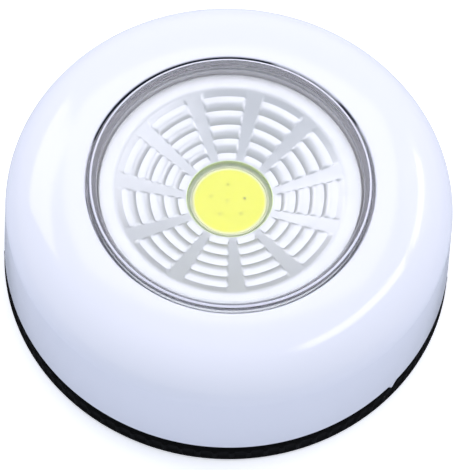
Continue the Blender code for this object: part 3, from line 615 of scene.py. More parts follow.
def housingOutline(setup):
    skirt, bottom, wall, edge = pick(setup, "skirtRadius", "skirtBottom", "wall", "openingEdge")
    crown, ceiling, top, collar, collarBottom = pick(
        setup, "crownStart", "ceiling", "top", "collarOuter", "collarBottom"
    )
    middle = (setup["crownRadius"], setup["shoulderBottom"])
    run = setup["shoulderRadius"] - middle[0]
    rise = setup["crownHeight"] - middle[1]
    shoulder = [point for point in arc(middle, run, rise, 0, 90, 40) if point[0] > crown]
    clear = collar + setup["collarGap"]
    inside = [point for point in arc(middle, run - wall, ceiling - middle[1], 90, 0, 14) if point[0] > clear]
    near = (crown - middle[0]) / run   # the crown leaves the shoulder's ellipse without a crease
    low = middle[1] + rise * math.sqrt(1 - near**2)
    lowSlope = -rise / run * near / math.sqrt(1 - near**2)
    length = setup["opening"] + edge - crown
    slope = []
    steps = 12
    for step in range(steps):
        share = step / steps
        climb = 3 * share**2 - 2 * share**3
        height = (1 - climb) * low + climb * top
        height += (share**3 - 2 * share**2 + share) * length * lowSlope
        height += (share**3 - share**2) * length * setup["topSlope"]
        slope.append((crown + length * share, height))
    opening = arc((setup["opening"] + edge, top - edge), edge, edge, 90, 180, 5)
    ring = rounded([
        (setup["collarInner"], ceiling, 0), (setup["collarInner"], collarBottom), (collar, collarBottom),
        (collar, ceiling, 0),
    ], setup["collarRound"], 2)
    drawn = bottom + setup["draftHeight"]   # the skirt narrows up to here
    foot = rounded([
        (skirt - wall, drawn), (skirt - wall, bottom), (skirt, bottom), (skirt - setup["draft"], drawn),
    ], setup["edgeRound"], 4)[5:-5]
    return [*foot, *shoulder, *slope, *opening, (setup["opening"], ceiling), *ring, *inside]


# Corners in plan of a box on a corner's own axis
def cornerBox(turn, near, far, side):
    out = Vector(polar(1, turn))
    aside = Vector(polar(1, turn + math.pi / 2))
    return [out * near - aside * side, out * far - aside * side, out * far + aside * side, out * near + aside * side]


def makeHousing(setup, finish):
    housing = lathePiece("housingShell", housingOutline(setup), finish, 288)
    catches, stops, bosses, slots, pointer = [bmesh.new() for index in range(5)]
    for turn in cellTurns:
        start, end = [turn + math.radians(angle) for angle in setup["catchSpan"]]
        addWedge(catches, boxSection(*setup["catch"]), start, end, 8)
        for angle in setup["stopStarts"]:
            start = turn + math.radians(angle)
            addWedge(stops, boxSection(*setup["stop"]), start, start + math.radians(setup["stopSpan"]), 2)
        addLathe(bosses, boredPost(*setup["boss"]), 32, middle=polar(setup["bossDistance"], turn))
    for turn in cornerTurns:
        addPrism(slots, cornerBox(turn, *setup["slot"]), *setup["slotHeights"])
    turn = math.radians(setup["pointerTurn"])
    out = Vector((*polar(1, turn), 0))
    aside = Vector((*polar(1, turn + math.pi / 2), 0))
    half, tip = pick(setup, "pointerHalf", "pointerTip")
    root = setup["skirtBottom"] + setup["pointerRoot"]
    low = setup["skirtBottom"] - setup["pointerDrop"]
    corners = [(-half, root), (half, root), (tip, low), (-tip, low)]
    outer = setup["skirtRadius"] - setup["pointerInset"]
    addLoft(pointer, [
        [out * depth + aside * side + Vector((0, 0, height)) for side, height in corners]
        for depth in (outer - setup["pointerDeep"], outer)
    ])
    for shape, operation in zip(
        (catches, stops, bosses, slots, pointer), ("UNION", "UNION", "UNION", "DIFFERENCE", "UNION")
    ):
        weldOn(housing, shape, operation)
    declare(housing, "head", "white_abs", "housing")


gapShadeSetup = {
    "colour": (0.012, 0.018, 0.035), "radius": 22.85, "bottom": 24.8, "top": 25.62, "soft": 0.1, "softEnd": 0.1,
    "arcs": ((72, 168, 1.0), (28, 47, 0.9), (186, 238, 0.9), (262, 300, 0.4)),   # degrees from, to, strength
}


# Painted shade: a dark colour on the opening's wall, over some arcs of it, for the shadowed gap between lens and
# housing
def addPaintedGapShade(finish, setup):
    tree, shader, plainTone = openFinish(finish)
    x, y, z = splitPlace(objectPlace(tree))
    turn = calc("MODULO", calc("ARCTAN2", y, x) + math.tau, math.tau)
    strength = 0.0
    for first, last, most in setup["arcs"]:
        half = math.radians(last - first) / 2
        away = calc("ABSOLUTE", turn - math.radians(first + last) / 2)
        strength = calc("MAXIMUM", ramp(away, half - setup["softEnd"], half, most, 0.0), strength)
    soft = setup["soft"]
    radius, bottom, top = [(size - soft, size + soft) for size in pick(setup, "radius", "bottom", "top")]
    # painted shade of the gap, on the wall that faces the lens
    paintedShade = fade(axisDistance(tree), radius, 1.0, 0.0) * fade(z, top, 1.0, 0.0) * fade(z, bottom) * strength
    gloss = Term(shader.inputs["Roughness"].links[0].from_socket)
    dress(shader, Base_Color=mixColour(paintedShade, plainTone, setup["colour"]), Roughness=calc("MAXIMUM", gloss, paintedShade))


whiteShell = mouldedPlastic(
    "whiteShell", (0.86, 0.865, 0.91), (0.845, 0.855, 0.90), (0.10, 0.17), Specular_IOR_Level=0.5
)
addPaintedGapShade(whiteShell, gapShadeSetup)
makeHousing(housingSetup, whiteShell)
print("housing made")


# Base: black cover with a ribbed grip rim and three bayonet hooks

baseSetup = {
    "bottom": 0.5, "ribs": 84, "rimRadius": 36.03, "ribDepth": 0.35, "ribWidth": 1.25, "lipTop": 1.0, "rimTop": 2.7,
    "neckRadius": 34.83, "neckInner": 33.03, "neckTop": 4.4, "padRecess": 24.3, "recessTop": 1.3,
    "lipSlope": 0.08, "rounds": (0.22, 0.12, 0.02, 0.15, 0.2),   # foot, lip, crease, shoulder, other edges
    "ribEnds": (0.1, 0.02),                                      # how far they reach into the lip and end below the rim
    "hookHalf": 7,
    "hook": ((30.6, 2.5), (32.1, 2.5), (32.1, 9.0), (33.44, 9.0), (33.44, 10.4), (30.6, 10.4)),
    "gripBottom": (0.9, 1.2), "gripTop": (2.6, 2.8), "wornRadius": (35.7, 36.0),
}


# Ribs round a rim: a rounded bar, set at even turns
def makeRibTree():
    tree, given = startTree("ribRing", ("Ribs",), ("Radius", "Rib Width", "Bottom", "Top"))
    circle = addTerm(tree, "GeometryNodeMeshCircle", {"Vertices": given["Ribs"], "Radius": given["Radius"]})
    bar = addTerm(tree, "GeometryNodeMeshCylinder", {
        "Vertices": 10, "Radius": given["Rib Width"] * 0.5, "Depth": given["Top"] - given["Bottom"],
    }, "Mesh", fill_type="NGON")
    raised = liftUp(tree, bar, (given["Top"] + given["Bottom"]) * 0.5)
    inputs = {"Points": circle, "Instance": raised}
    return endTree(tree, given, addTerm(tree, "GeometryNodeInstanceOnPoints", inputs))


def makeBase(setup, finish):
    bottom, outer, lipTop, rimTop = pick(setup, "bottom", "rimRadius", "lipTop", "rimTop")
    neck, inner, neckTop, recess = pick(setup, "neckRadius", "neckInner", "neckTop", "padRecess")
    foot, lip, crease, shoulder, edge = setup["rounds"]
    rim = outer - setup["ribDepth"]
    outline = rounded([
        (0, setup["recessTop"]), (recess, setup["recessTop"]), (recess, bottom), (outer, bottom, foot),
        (outer, lipTop, lip), (rim, lipTop + setup["lipSlope"], crease), (rim, rimTop, shoulder),
        (neck, rimTop, shoulder), (neck, neckTop), (inner, neckTop), (inner, rimTop), (0, rimTop),
    ], edge, 3)
    base = lathePiece("baseCover", outline, finish, 252)
    hooks = bmesh.new()
    half = math.radians(setup["hookHalf"])
    for turn in cellTurns:
        addWedge(hooks, setup["hook"], turn - half, turn + half, 8)
    weldOn(base, hooks)
    declare(base, "base", "black_abs", "base_cover")
    ribs = newPiece("gripRibs")
    width = setup["ribWidth"]
    growTree(ribs, makeRibTree(), {
        "Ribs": setup["ribs"], "Radius": (outer - width / 2) * mm, "Rib Width": width * mm,
        "Bottom": (lipTop - setup["ribEnds"][0]) * mm, "Top": (rimTop - setup["ribEnds"][1]) * mm,
    }, finish)
    declare(ribs, "base", "black_abs")


# Black, with grey-brown wear and dust on the ribs of the grip
def makeBlack(setup):
    finish = mouldedPlastic(
        "blackCover", (0.006, 0.006, 0.006), (0.010, 0.010, 0.010), (0.8, 0.95), 0.1, 80.0, Specular_IOR_Level=0.06
    )
    tree, shader, plainTone = openFinish(finish)
    z = splitPlace(objectPlace(tree))[2]
    grip = fade(z, setup["gripBottom"]) * fade(z, setup["gripTop"], 1.0, 0.0)
    specks = useGroup(tree, dustSpecks, Scale=1100.0, Amount=0.45)["Specks"]
    worn = grip * fade(axisDistance(tree), setup["wornRadius"]) * specks * 0.8
    dress(shader, Base_Color=mixColour(worn, plainTone, (0.075, 0.065, 0.055)))
    return finish


makeBase(baseSetup, makeBlack(baseSetup))
print("base made")


# Reflector: silvered bowl with five rings of pressed arcs in eleven sectors

reflectorSetup = {
    "rings": 5, "sectors": 11, "columnsPerSector": 45, "arcColumns": 33, "rowsPerRing": 16,
    "firstSector": 96.4, "hubRadius": 6.7, "bowlRadius": 18.2, "hubTop": 19.8, "bowlDepth": 3.25,
    "curve": 1.12,   # the power by which the bowl steepens
    "firstCrease": 8.1, "firstTread": 1.0, "pitch": 2.2, "tread": 0.5, "dishEnd": 17.8,
    "cornerRound": 0.3, "endRun": 0.25, "lastSlope": 1.0, "scallop": 3.0, "bandStart": 18.7, "bandFlat": 19.2,
    "bandRadius": 20.7, "bandHeight": 23.05, "bandRounds": (0.25, 0.15), "wallBottom": 17.8, "wallTop": 21.9,
    "wall": 1.0, "hubThick": 0.9, "hubEdge": (0.05, 0.04), "backStart": 17.9, "backStep": 2.1, "backSteps": 6,
    "backShift": 1.1, "specklesFrom": (18.0, 18.8), "yellowReflectionTint": (6.74, 6.82),
    "postDistance": 15.5, "postTop": 21.3, "postRadius": 1.4, "postBore": 0.7, "boreTop": 20.4,
}
dishCounts = ("Rings", "Sectors", "Columns Per Sector", "Arc Columns", "Rows Per Ring")
dishRatios = ("Curve", "Last Slope", "Scallop")
dishLengths = (
    "Hub Radius", "Bowl Radius", "Hub Top", "Bowl Depth", "First Crease", "First Tread", "Pitch", "Tread", "Dish End",
    "Corner Round", "End Run",
)


# The values for some inputs of a tree, from the settings of the same names in camel case
def fromSetup(setup, titles, unit=1):
    return {title: setup[title[0].lower() + title[1:].replace(" ", "")] * unit for title in titles}


def bowlHeight(setup, radius):
    share = max(radius - setup["hubRadius"], 0) / (setup["bowlRadius"] - setup["hubRadius"])
    return setup["hubTop"] + setup["bowlDepth"] * share ** setup["curve"]


def either(isFirst, first, second):
    return isFirst * first + (1.0 - isFirst) * second


# The pressed dish: a grid bent round the axis, each ring a flat tread that ends in a step back up to the bowl
def makeDishTree():
    tree, given = startTree("pressedDish", dishCounts, ("First Sector", *dishRatios, *dishLengths))
    rings, sectors, perSector, arcColumns, perRing = pick(given, *dishCounts)
    curve, lastSlope, scallop = pick(given, *dishRatios)
    hubRadius, bowlRadius, hubTop, depth, firstCrease, firstTread, pitch, tread, dishEnd, cornerRound, endRun = pick(
        given, *dishLengths
    )
    rows = rings * perRing
    columns = sectors * perSector
    grid = addTerm(tree, "GeometryNodeMeshGrid", {
        "Size X": 1.0, "Size Y": 1.0, "Vertices X": rows + 1.0, "Vertices Y": columns + 1.0,
    }, "Mesh")
    across, around = splitPlace(addTerm(tree, "GeometryNodeInputPosition"))[:2]

    # Where in its sector a column stands, and by how many columns it is inside the arc's end
    column = calc("ROUND", (around + 0.5) * columns)
    fromMiddle = calc("ABSOLUTE", calc("MODULO", column, perSector) - perSector * 0.5)
    columnTurn = math.tau / columns
    turn = column * columnTurn + (given["First Sector"] - perSector * 0.5 * columnTurn)
    inside = arcColumns * 0.5 - fromMiddle

    # Ring and row of a point
    row = calc("ROUND", (across + 0.5) * rows)
    ring = calc("MINIMUM", calc("FLOOR", row / perRing), rings - 1.0)
    inRing = (row - ring * perRing) / perRing
    fullCrease = firstCrease + ring * pitch
    isFirst = calc("LESS_THAN", ring, 0.5)
    isLast = calc("GREATER_THAN", ring, rings - 1.5)
    start = fullCrease - (tread + isFirst * (firstTread - tread))
    end = either(isLast, dishEnd, fullCrease + pitch - tread)
    along = calc("MAXIMUM", inside * columnTurn * fullCrease, 0.0)

    # The crease draws in round the arc's corners
    lack = calc("MAXIMUM", cornerRound - along, 0.0)
    squares = calc("MAXIMUM", cornerRound**2.0 - lack**2.0, 0.0)
    crease = fullCrease - (cornerRound - calc("SQRT", squares))

    # Rows share out: the inner half on the tread, the outer half from the crease to the next ring
    onTread = calc("LESS_THAN", inRing, 0.5001)
    landSpan = calc("MAXIMUM", inRing * 2.0 - 1.0, 0.0) ** 1.3   # rows stand closer by the crease
    treadPlace = start + (crease - start) * (inRing * 2.0)
    radius = either(onTread, treadPlace, crease + (end - crease) * landSpan)

    def bowl(place):
        share = (place - hubRadius) / (bowlRadius - hubRadius)
        return hubTop + depth * calc("MAXIMUM", share, 0.0) ** curve

    level = bowl(start)
    steep = 1.0 - (1.0 - landSpan) ** scallop
    climb = either(isLast * lastSlope, landSpan, steep)
    stepped = either(onTread, level, level + (bowl(end) - level) * climb)
    pressed = calc("MINIMUM", along / endRun, 1.0)
    height = bowl(radius) - (bowl(radius) - stepped) * pressed

    placed = joinPlace(tree, radius * calc("COSINE", turn), radius * calc("SINE", turn), height)
    bent = addTerm(tree, "GeometryNodeSetPosition", {"Geometry": grid, "Position": placed})
    whole = joinGeometry(tree, bent, given["Geometry"])
    inputs = {"Geometry": whole, "Distance": 0.003 * mm}
    return endTree(tree, given, addTerm(tree, "GeometryNodeMergeByDistance", inputs))


def makeReflector(setup, finish):
    hub, hubTop, hubThick, end = pick(setup, "hubRadius", "hubTop", "hubThick", "dishEnd")
    band, height, wallBottom = pick(setup, "bandRadius", "bandHeight", "wallBottom")
    wallInner = band - setup["wall"]
    outline = bend(   # the bowl rounds over into the flat band
        Vector((end, bowlHeight(setup, end))), Vector((setup["bowlRadius"], height)),
        Vector((setup["bandStart"], height)), 6
    )
    rimRound, footRound = setup["bandRounds"]
    outline += rounded([
        (setup["bandFlat"], height, 0), (band, height, rimRound), (band, wallBottom), (wallInner, wallBottom),
        (wallInner, setup["wallTop"], 0),
    ], footRound, 4)
    for step in range(setup["backSteps"]):
        radius = setup["backStart"] - step * setup["backStep"]
        outline.append((radius, bowlHeight(setup, radius - setup["backShift"]) - hubThick))
    edgeDrop, edgeRun = setup["hubEdge"]
    outline += [(hub, hubTop - hubThick), (hub, hubTop - edgeDrop)]
    start = setup["firstCrease"] - setup["firstTread"]
    outline += [(radius, bowlHeight(setup, radius)) for radius in (hub + edgeRun, start)]
    shape = bmesh.new()
    addLathe(shape, outline, setup["sectors"] * setup["columnsPerSector"], closed=False)
    firstTurn = math.radians(setup["firstSector"]) - math.pi / setup["sectors"]
    bmesh.ops.rotate(shape, verts=shape.verts, cent=(0, 0, 0), matrix=Matrix.Rotation(firstTurn, 3, "Z"))
    post = boredPost(*pick(setup, "postBore", "postRadius", "wallBottom", "boreTop", "postTop"))
    for turn in cornerTurns:
        addLathe(shape, post, 32, middle=polar(setup["postDistance"], turn))
    reflector = finishPiece("reflectorDish", shape, finish)
    growTree(reflector, makeDishTree(), {
        "First Sector": math.radians(setup["firstSector"]), **fromSetup(setup, dishCounts + dishRatios),
        **fromSetup(setup, dishLengths, mm),
    }, finish, 28)
    shape = bmesh.new()
    shape.from_mesh(reflector.data)
    openEdges = sum(not edge.is_manifold for edge in shape.edges)
    bmesh.ops.recalc_face_normals(shape, faces=shape.faces)
    shape.to_mesh(reflector.data)
    shape.free()
    print("reflector faces:", len(reflector.data.polygons), "open edges:", openEdges)
    declare(reflector, "button", "silvered", "reflector")


# Satin silvering: even on the bowl, speckled on the flat band, with a painted yellow reflection of the emitter round
# the hub
def makeSilver(setup):
    finish, tree, shader = newFinish("silverDish", Metallic=1.0)
    skin = useGroup(tree, mouldedSkin, Drift_Scale=120.0, Grain_Scale=1500.0)
    specks = useGroup(tree, dustSpecks, Scale=1400.0, Amount=0.14)["Specks"]
    radius = axisDistance(tree)
    tone = mixColour(skin["Drift"], (0.62, 0.635, 0.64), (0.59, 0.605, 0.61))
    tone = mixColour(specks * fade(radius, setup["specklesFrom"]) * 0.5, tone, (0.30, 0.31, 0.34))
    # painted reflection: the hub's wall is tinted yellow-green as if lit by the yellow emitter
    tone = mixColour(fade(radius, setup["yellowReflectionTint"], 1.0, 0.0), tone, (0.80, 0.95, 0.40))
    dress(
        shader, Base_Color=tone, Roughness=skin["Dulling"] * 0.06 + 0.42, Normal=bump(skin["Grain"], 0.012, 0.05 * mm)
    )
    return finish


makeReflector(reflectorSetup, makeSilver(reflectorSetup))
print("reflector made")


# Lens: clear moulded cap with a stepped rim

lensSetup = {
    "top": 26.4, "under": 24.9, "radius": 22.2, "inner": 21.0, "edge": 0.7, "flange": 24.0,
    "flangeTop": 23.9, "flangeBottom": 22.9, "spigotBottom": 21.7, "frostTop": 23.8, "corner": 0.25,
    "edgeRound": 0.1, "straight": 1,
    "margin": 0.1, "tilts": (0.1, 0.7, 0.97),   # upward parts of a face's normal: faint, slanted, nearly level
}


def makeLens(setup, finish, frosted):
    top, under, radius, inner, edge, corner = pick(setup, "top", "under", "radius", "inner", "edge", "corner")
    flange, flangeTop, flangeBottom = pick(setup, "flange", "flangeTop", "flangeBottom")
    foot, frostTop, straight, margin = pick(setup, "spigotBottom", "frostTop", "straight", "margin")
    faint, slanted, level = setup["tilts"]
    outline = [(0, under)]
    outline += rounded([
        (inner - straight, under, 0), (inner, under, corner), (inner, frostTop, 0), (inner, foot), (radius, foot),
        (radius, flangeBottom), (flange, flangeBottom), (flange, flangeTop), (radius, flangeTop),
        (radius, flangeTop + straight, 0),
    ], setup["edgeRound"], 3)
    outline += arc((radius - edge, top - edge), edge, edge, 0, 90, 12)
    outline.append((0, top))
    lens = lathePiece("lensCap", outline, finish, 288)
    lens.data.materials.append(frosted)
    for face in lens.data.polygons:   # fine frost: the skirt's foot, flange, the corner under the plate, the top edge
        out = face.center.xy.length / mm
        height = face.center.z / mm
        tilt = face.normal.z
        low = height < frostTop and out > inner - margin and (abs(tilt) > slanted or out < inner + margin)
        brow = height > top - edge and slanted < tilt < level
        ring = height > under - corner and out < inner and -level < tilt < -faint
        if low or brow or ring:
            face.material_index = 1
    declare(lens, "button", "clear_acrylic", "lens")


def makeClearAcrylic():
    finish, tree, shader = newFinish("clearAcrylic", Transmission_Weight=1.0, IOR=1.49, Metallic=0.0)
    specks = useGroup(tree, dustSpecks, Scale=700.0, Amount=0.04)["Specks"]
    dress(
        shader, Base_Color=mixColour(specks * 0.15, (0.97, 0.98, 1.0), (0.8, 0.8, 0.8)),
        Roughness=useGroup(tree, mouldedSkin, Drift_Scale=60.0)["Dulling"] * 0.02,
    )
    return finish


frostedAcrylic = mouldedPlastic(
    "frostedAcrylic", (0.93, 0.92, 0.98), (0.90, 0.89, 0.95), (0.35, 0.5), 0.03, 90.0, Transmission_Weight=0.1, IOR=1.49
)
makeLens(lensSetup, makeClearAcrylic(), frostedAcrylic)
print("lens made")


# Emitter: phosphor disc in its silicone dam

emitterSetup = {
    "radius": 5.8, "bottom": 18.7, "top": 19.1, "sink": 0.07, "damInner": 5.9, "damOuter": 6.2, "damTop": 19.15,
    "gelFlat": 0.8, "gelRim": 0.08, "gelRound": 0.05, "gelInset": 0.985, "damRound": 0.15, "damFoot": 0.1,
    "border": (5.3, 5.8), "dieHeight": 19.05, "dieFade": (0.12, 0.45),
    "dies": (   # x, y, how dark
        (-0.3, 0.0, 0.45), (-0.4, 2.9, 0.5), (-2.95, 0.6, 0.51), (2.35, 0.6, 0.62), (-1.4, -2.4, 0.5), (1.9, -2.1, 0.5),
    ),
}


def makeEmitter(setup, gelFinish, damFinish):
    radius, bottom, top, inner, outer = pick(setup, "radius", "bottom", "top", "damInner", "damOuter")
    flat, rim, gelRound, inset, damRound = pick(setup, "gelFlat", "gelRim", "gelRound", "gelInset", "damRound")
    gel = [(0, bottom)]
    gel += rounded([(radius - flat, bottom, 0), (radius, bottom), (radius, top - rim, 0)], gelRound, 3)
    steps = 8
    for step in range(steps + 1):
        share = 1 - step / steps
        gel.append((radius * share * inset, top - setup["sink"] * share**2))
    disc = lathePiece("phosphorDisc", gel, gelFinish, 128)
    declare(disc, "button", "phosphor", "cob_emitter")
    width = (outer - inner) / 2
    outline = [(inner, bottom + setup["damFoot"]), (inner, bottom), (outer, bottom)]
    outline += arc((inner + width, setup["damTop"] - damRound), width, damRound, 0, 180, 12)
    dam = lathePiece("siliconeDam", outline, damFinish, 128)
    declare(dam, "button", "dam_white", "cob_dam")


# Yellow gel with a pale border and six faint dies under it, and a faint painted glow though the LED is off
def makePhosphorGel(setup):
    # the emission is a painted glow: the LED is unlit
    finish, tree, shader = newFinish("phosphorGel", Roughness=0.35, Specular_IOR_Level=0.2, Emission_Strength=0.2)
    place = objectPlace(tree)
    skin = useGroup(tree, mouldedSkin, Drift_Scale=300.0)
    dies = 0.0
    for x, y, depth in setup["dies"]:
        inputs = {0: place, 1: (x * mm, y * mm, setup["dieHeight"] * mm)}
        away = addTerm(tree, "ShaderNodeVectorMath", inputs, "Value", operation="DISTANCE")
        dies = calc("MAXIMUM", fade(away, setup["dieFade"], depth, 0.0), dies)
    yellow = mixColour(skin["Drift"], (1.0, 1.0, 0.02), (0.98, 0.98, 0.02))
    border = fade(axisDistance(tree), setup["border"]) * 0.7
    tone = mixColour(border, mixColour(dies, yellow, (0.05, 0.05, 0.0)), (1.0, 1.0, 0.75))
    dress(shader, Base_Color=tone, Emission_Color=tone, Normal=bump(skin["Grain"], 0.1, 0.1 * mm))
    return finish


damSilicone = mouldedPlastic("damSilicone", (0.90, 0.94, 0.62), (0.86, 0.90, 0.58), (0.35, 0.5), 0.05, 200.0)
makeEmitter(emitterSetup, makePhosphorGel(emitterSetup), damSilicone)
print("emitter made")


# Springs: wire coils

coilSetup = {
    "returnSpring": {
        "turns": 4.0, "foot": 8.3, "tip": 8.3, "bottom": 11.05, "length": 4.9, "wire": 0.25, "anchor": 10.8,
    },
    "cellSpring": {"turns": 2.5, "foot": 3.2, "tip": 1.8, "length": 2.0, "wire": 0.25, "along": -23.8},
    "travel": 1.5,
}
cellPlace = {"outward": 18.546, "height": 8.25}   # of a cell's own axis


def makeCoilTree():
    tree, given = startTree(
        "wireCoil", ("Points Per Turn", "Wire Sides"), ("Turns", "Foot Radius", "Tip Radius", "Length", "Wire Radius")
    )
    path = addTerm(tree, "GeometryNodeCurveSpiral", {
        "Resolution": given["Points Per Turn"], "Rotations": given["Turns"], "Start Radius": given["Foot Radius"],
        "End Radius": given["Tip Radius"], "Height": given["Length"],
    })
    return endTree(tree, given, wireAlong(tree, path, given["Wire Sides"], given["Wire Radius"]))


# The place of a cell's own axis: x runs to its plus end, and the axis is turned to its side of the triangle
def cellMatrix(index, along):
    turn = cellTurns[index]
    out = Vector(polar(cellPlace["outward"], turn)) + Vector(polar(along, turn - math.pi / 2))
    spot = Vector((*out, cellPlace["height"])) * mm
    return Matrix.Translation(spot) @ Matrix.Rotation(turn - math.pi / 2, 4, "Z") @ Matrix.Rotation(math.pi / 2, 4, "Y")


def makeCoil(name, node, slot, tree, sizes, finish, matrix):
    coil = newPiece(name)
    growTree(coil, tree, {
        "Points Per Turn": 48, "Wire Sides": 12, "Turns": sizes["turns"], "Foot Radius": sizes["foot"] * mm,
        "Tip Radius": sizes["tip"] * mm, "Length": sizes["length"] * mm, "Wire Radius": sizes["wire"] * mm,
    }, finish, 50)
    coil.data.transform(matrix)
    declare(coil, "head", slot, node)
    return coil


def makeCoils(setup, tree, steelFinish, nickelFinish):
    sizes = setup["returnSpring"]
    bottom, anchor = sizes["bottom"], sizes["anchor"]
    lift = Matrix.Translation((0, 0, bottom * mm))
    coil = makeCoil("returnSpring", "return_spring", "steel", tree, sizes, steelFinish, lift)
    room = bottom + sizes["length"] + sizes["wire"] - anchor
    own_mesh(coil)
    sizes = setup["cellSpring"]
    for index in range(3):
        name, node = f"cellSpring{index + 1}", f"cell_spring_{index + 1}"
        makeCoil(name, node, "nickel", tree, sizes, nickelFinish, cellMatrix(index, sizes["along"]))


springSteel = drawnMetal("springSteel", (0.52, 0.52, 0.54), (0.46, 0.46, 0.48), (0.22, 0.35))
nickelPlate = drawnMetal("nickelPlate", (0.68, 0.66, 0.62), (0.62, 0.60, 0.56), (0.2, 0.34))
makeCoils(coilSetup, makeCoilTree(), springSteel, nickelPlate)
print("springs made")


# Leads: insulated wires inside the head

leadSetup = {"radius": 0.5, "travel": 1.5}
leads = {
    "batteryLead": {
        "node": "battery_lead", "slot": "red_pvc",
        "corners": ((23.75, 15.046, 3.95), (18.386, 11.77, 3.95), (13.023, 8.443, 4.4), (7.8, 0, 4.85), (3.9, 0, 4.85)),
    },
    "redLead": {
        "node": "red_lead", "slot": "red_pvc", "anchor": 4.35,
        "corners": (
            (-3.9, 0, 4.85), (-8.113, 3.933, 4.85), (-10.219, 5.9, 8.35), (-10.219, 5.9, 14.675), (-10.219, 5.9, 17.5),
        ),
    },
    "blackLead": {
        "node": "black_lead", "slot": "black_pvc", "anchor": 3.4,
        "corners": (
            (13.651, 4.932, 3.9), (12.127, 3.839, 4.4), (11.619, 3.475, 7.4), (11.619, 3.475, 14.2),
            (11.619, 3.475, 17.5),
        ),
    },
}


# Points a third of a millimetre apart on a smooth curve through the corners of a route
def smoothRoute(corners):
    ends = [corners[0] * 2 - corners[1], *corners, corners[-1] * 2 - corners[-2]]
    route = []
    for before, near, far, after in zip(ends, ends[1:], ends[2:], ends[3:]):
        steps = max(6, round((far - near).length * 3))
        for step in range(steps):
            share = step / steps
            pull = (far - before) * share + (before * 2 - near * 5 + far * 4 - after) * share**2
            swing = (near * 3 - before - far * 3 + after) * share**3
            route.append(near + (pull + swing) / 2)
    return route + [corners[-1]]


def makeLeadTree():
    tree, given = startTree("wireAlongRoute", ("Wire Sides",), ("Wire Radius",))
    path = addTerm(tree, "GeometryNodeMeshToCurve", {0: given["Geometry"]})
    return endTree(tree, given, wireAlong(tree, path, given["Wire Sides"], given["Wire Radius"]))


def makeLead(name, lead, setup, tree, finish):
    route = bmesh.new()
    spots = [route.verts.new(point * mm) for point in smoothRoute([Vector(corner) for corner in lead["corners"]])]
    for near, far in zip(spots, spots[1:]):
        route.edges.new((near, far))
    wire = newPiece(name, route)
    growTree(wire, tree, {"Wire Sides": 16, "Wire Radius": setup["radius"] * mm}, finish, 50)
    declare(wire, "head", lead["slot"], lead["node"])
    if "anchor" in lead:
        keep = 1 - setup["travel"] / (lead["corners"][-1][2] - lead["anchor"])
        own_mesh(wire)


sleeves = {
    "red_pvc": mouldedPlastic("redSleeve", (0.55, 0.03, 0.02), (0.46, 0.02, 0.02), (0.35, 0.5), 0.1, 200.0),
    "black_pvc": mouldedPlastic("blackSleeve", (0.02, 0.02, 0.02), (0.035, 0.035, 0.035), (0.35, 0.5), 0.1, 200.0),
}
leadTree = makeLeadTree()
for leadName, lead in leads.items():
    makeLead(leadName, lead, leadSetup, leadTree, sleeves[lead["slot"]])
print("leads made")


# Screws: pan heads with a cross recess, and a thread

screwSetup = {
    "headRadius": 1.6, "headHeight": 0.9, "headRound": 0.4, "headEdge": 0.08, "core": 0.44, "neck": (0.1, 0.12),
    "point": (0.12, 0.5), "thread": 0.6, "threadStart": 0.3, "threadRest": 0.9, "pitch": 0.45, "ridge": 0.12,
    "recessHalf": 0.9, "recessWidth": 0.17, "recessDepth": 0.5, "recessStart": -0.3,
}
screws = {
    "frameScrews": {
        "body": "head", "node": "frame_screw", "distance": 31.342, "turn": 90, "bottom": 12.6, "length": 5.6,
    },
    "reflectorScrews": {
        "body": "button", "node": "reflector_screw", "distance": 15.5, "turn": 30, "bottom": 15.5, "length": 4.6,
    },
}


def makeScrewTree(setup):
    tree, given = startTree("screwSet", ("Copies", "Seed"), (
        "Distance", "First Turn", "Bottom", "Thread Start", "Thread Length", "Thread Turns", "Thread Radius",
    ))
    ridge = setup["ridge"] * mm
    inner = given["Thread Radius"] - ridge
    path = addTerm(tree, "GeometryNodeCurveSpiral", {
        "Resolution": 20, "Rotations": given["Thread Turns"], "Start Radius": inner, "End Radius": inner,
        "Height": given["Thread Length"],
    })
    thread = liftUp(tree, wireAlong(tree, path, 4, ridge), given["Thread Start"])
    screw = joinGeometry(tree, thread, given["Geometry"])
    circle = addTerm(tree, "GeometryNodeMeshCircle", {"Vertices": given["Copies"], "Radius": given["Distance"]})
    spots = addTerm(tree, "GeometryNodeTransform", {
        "Geometry": circle, "Translation": joinPlace(tree, z=given["Bottom"]),
        "Rotation": joinPlace(tree, z=given["First Turn"]),
    })
    anyTurn = addTerm(tree, "FunctionNodeRandomValue", {   # each screw stops at its own turn
        "Min": (0, 0, 0), "Max": (0, 0, math.tau), "Seed": given["Seed"],
    }, data_type="FLOAT_VECTOR")
    inputs = {"Points": spots, "Instance": screw, "Rotation": anyTurn}
    return endTree(tree, given, addTerm(tree, "GeometryNodeInstanceOnPoints", inputs))


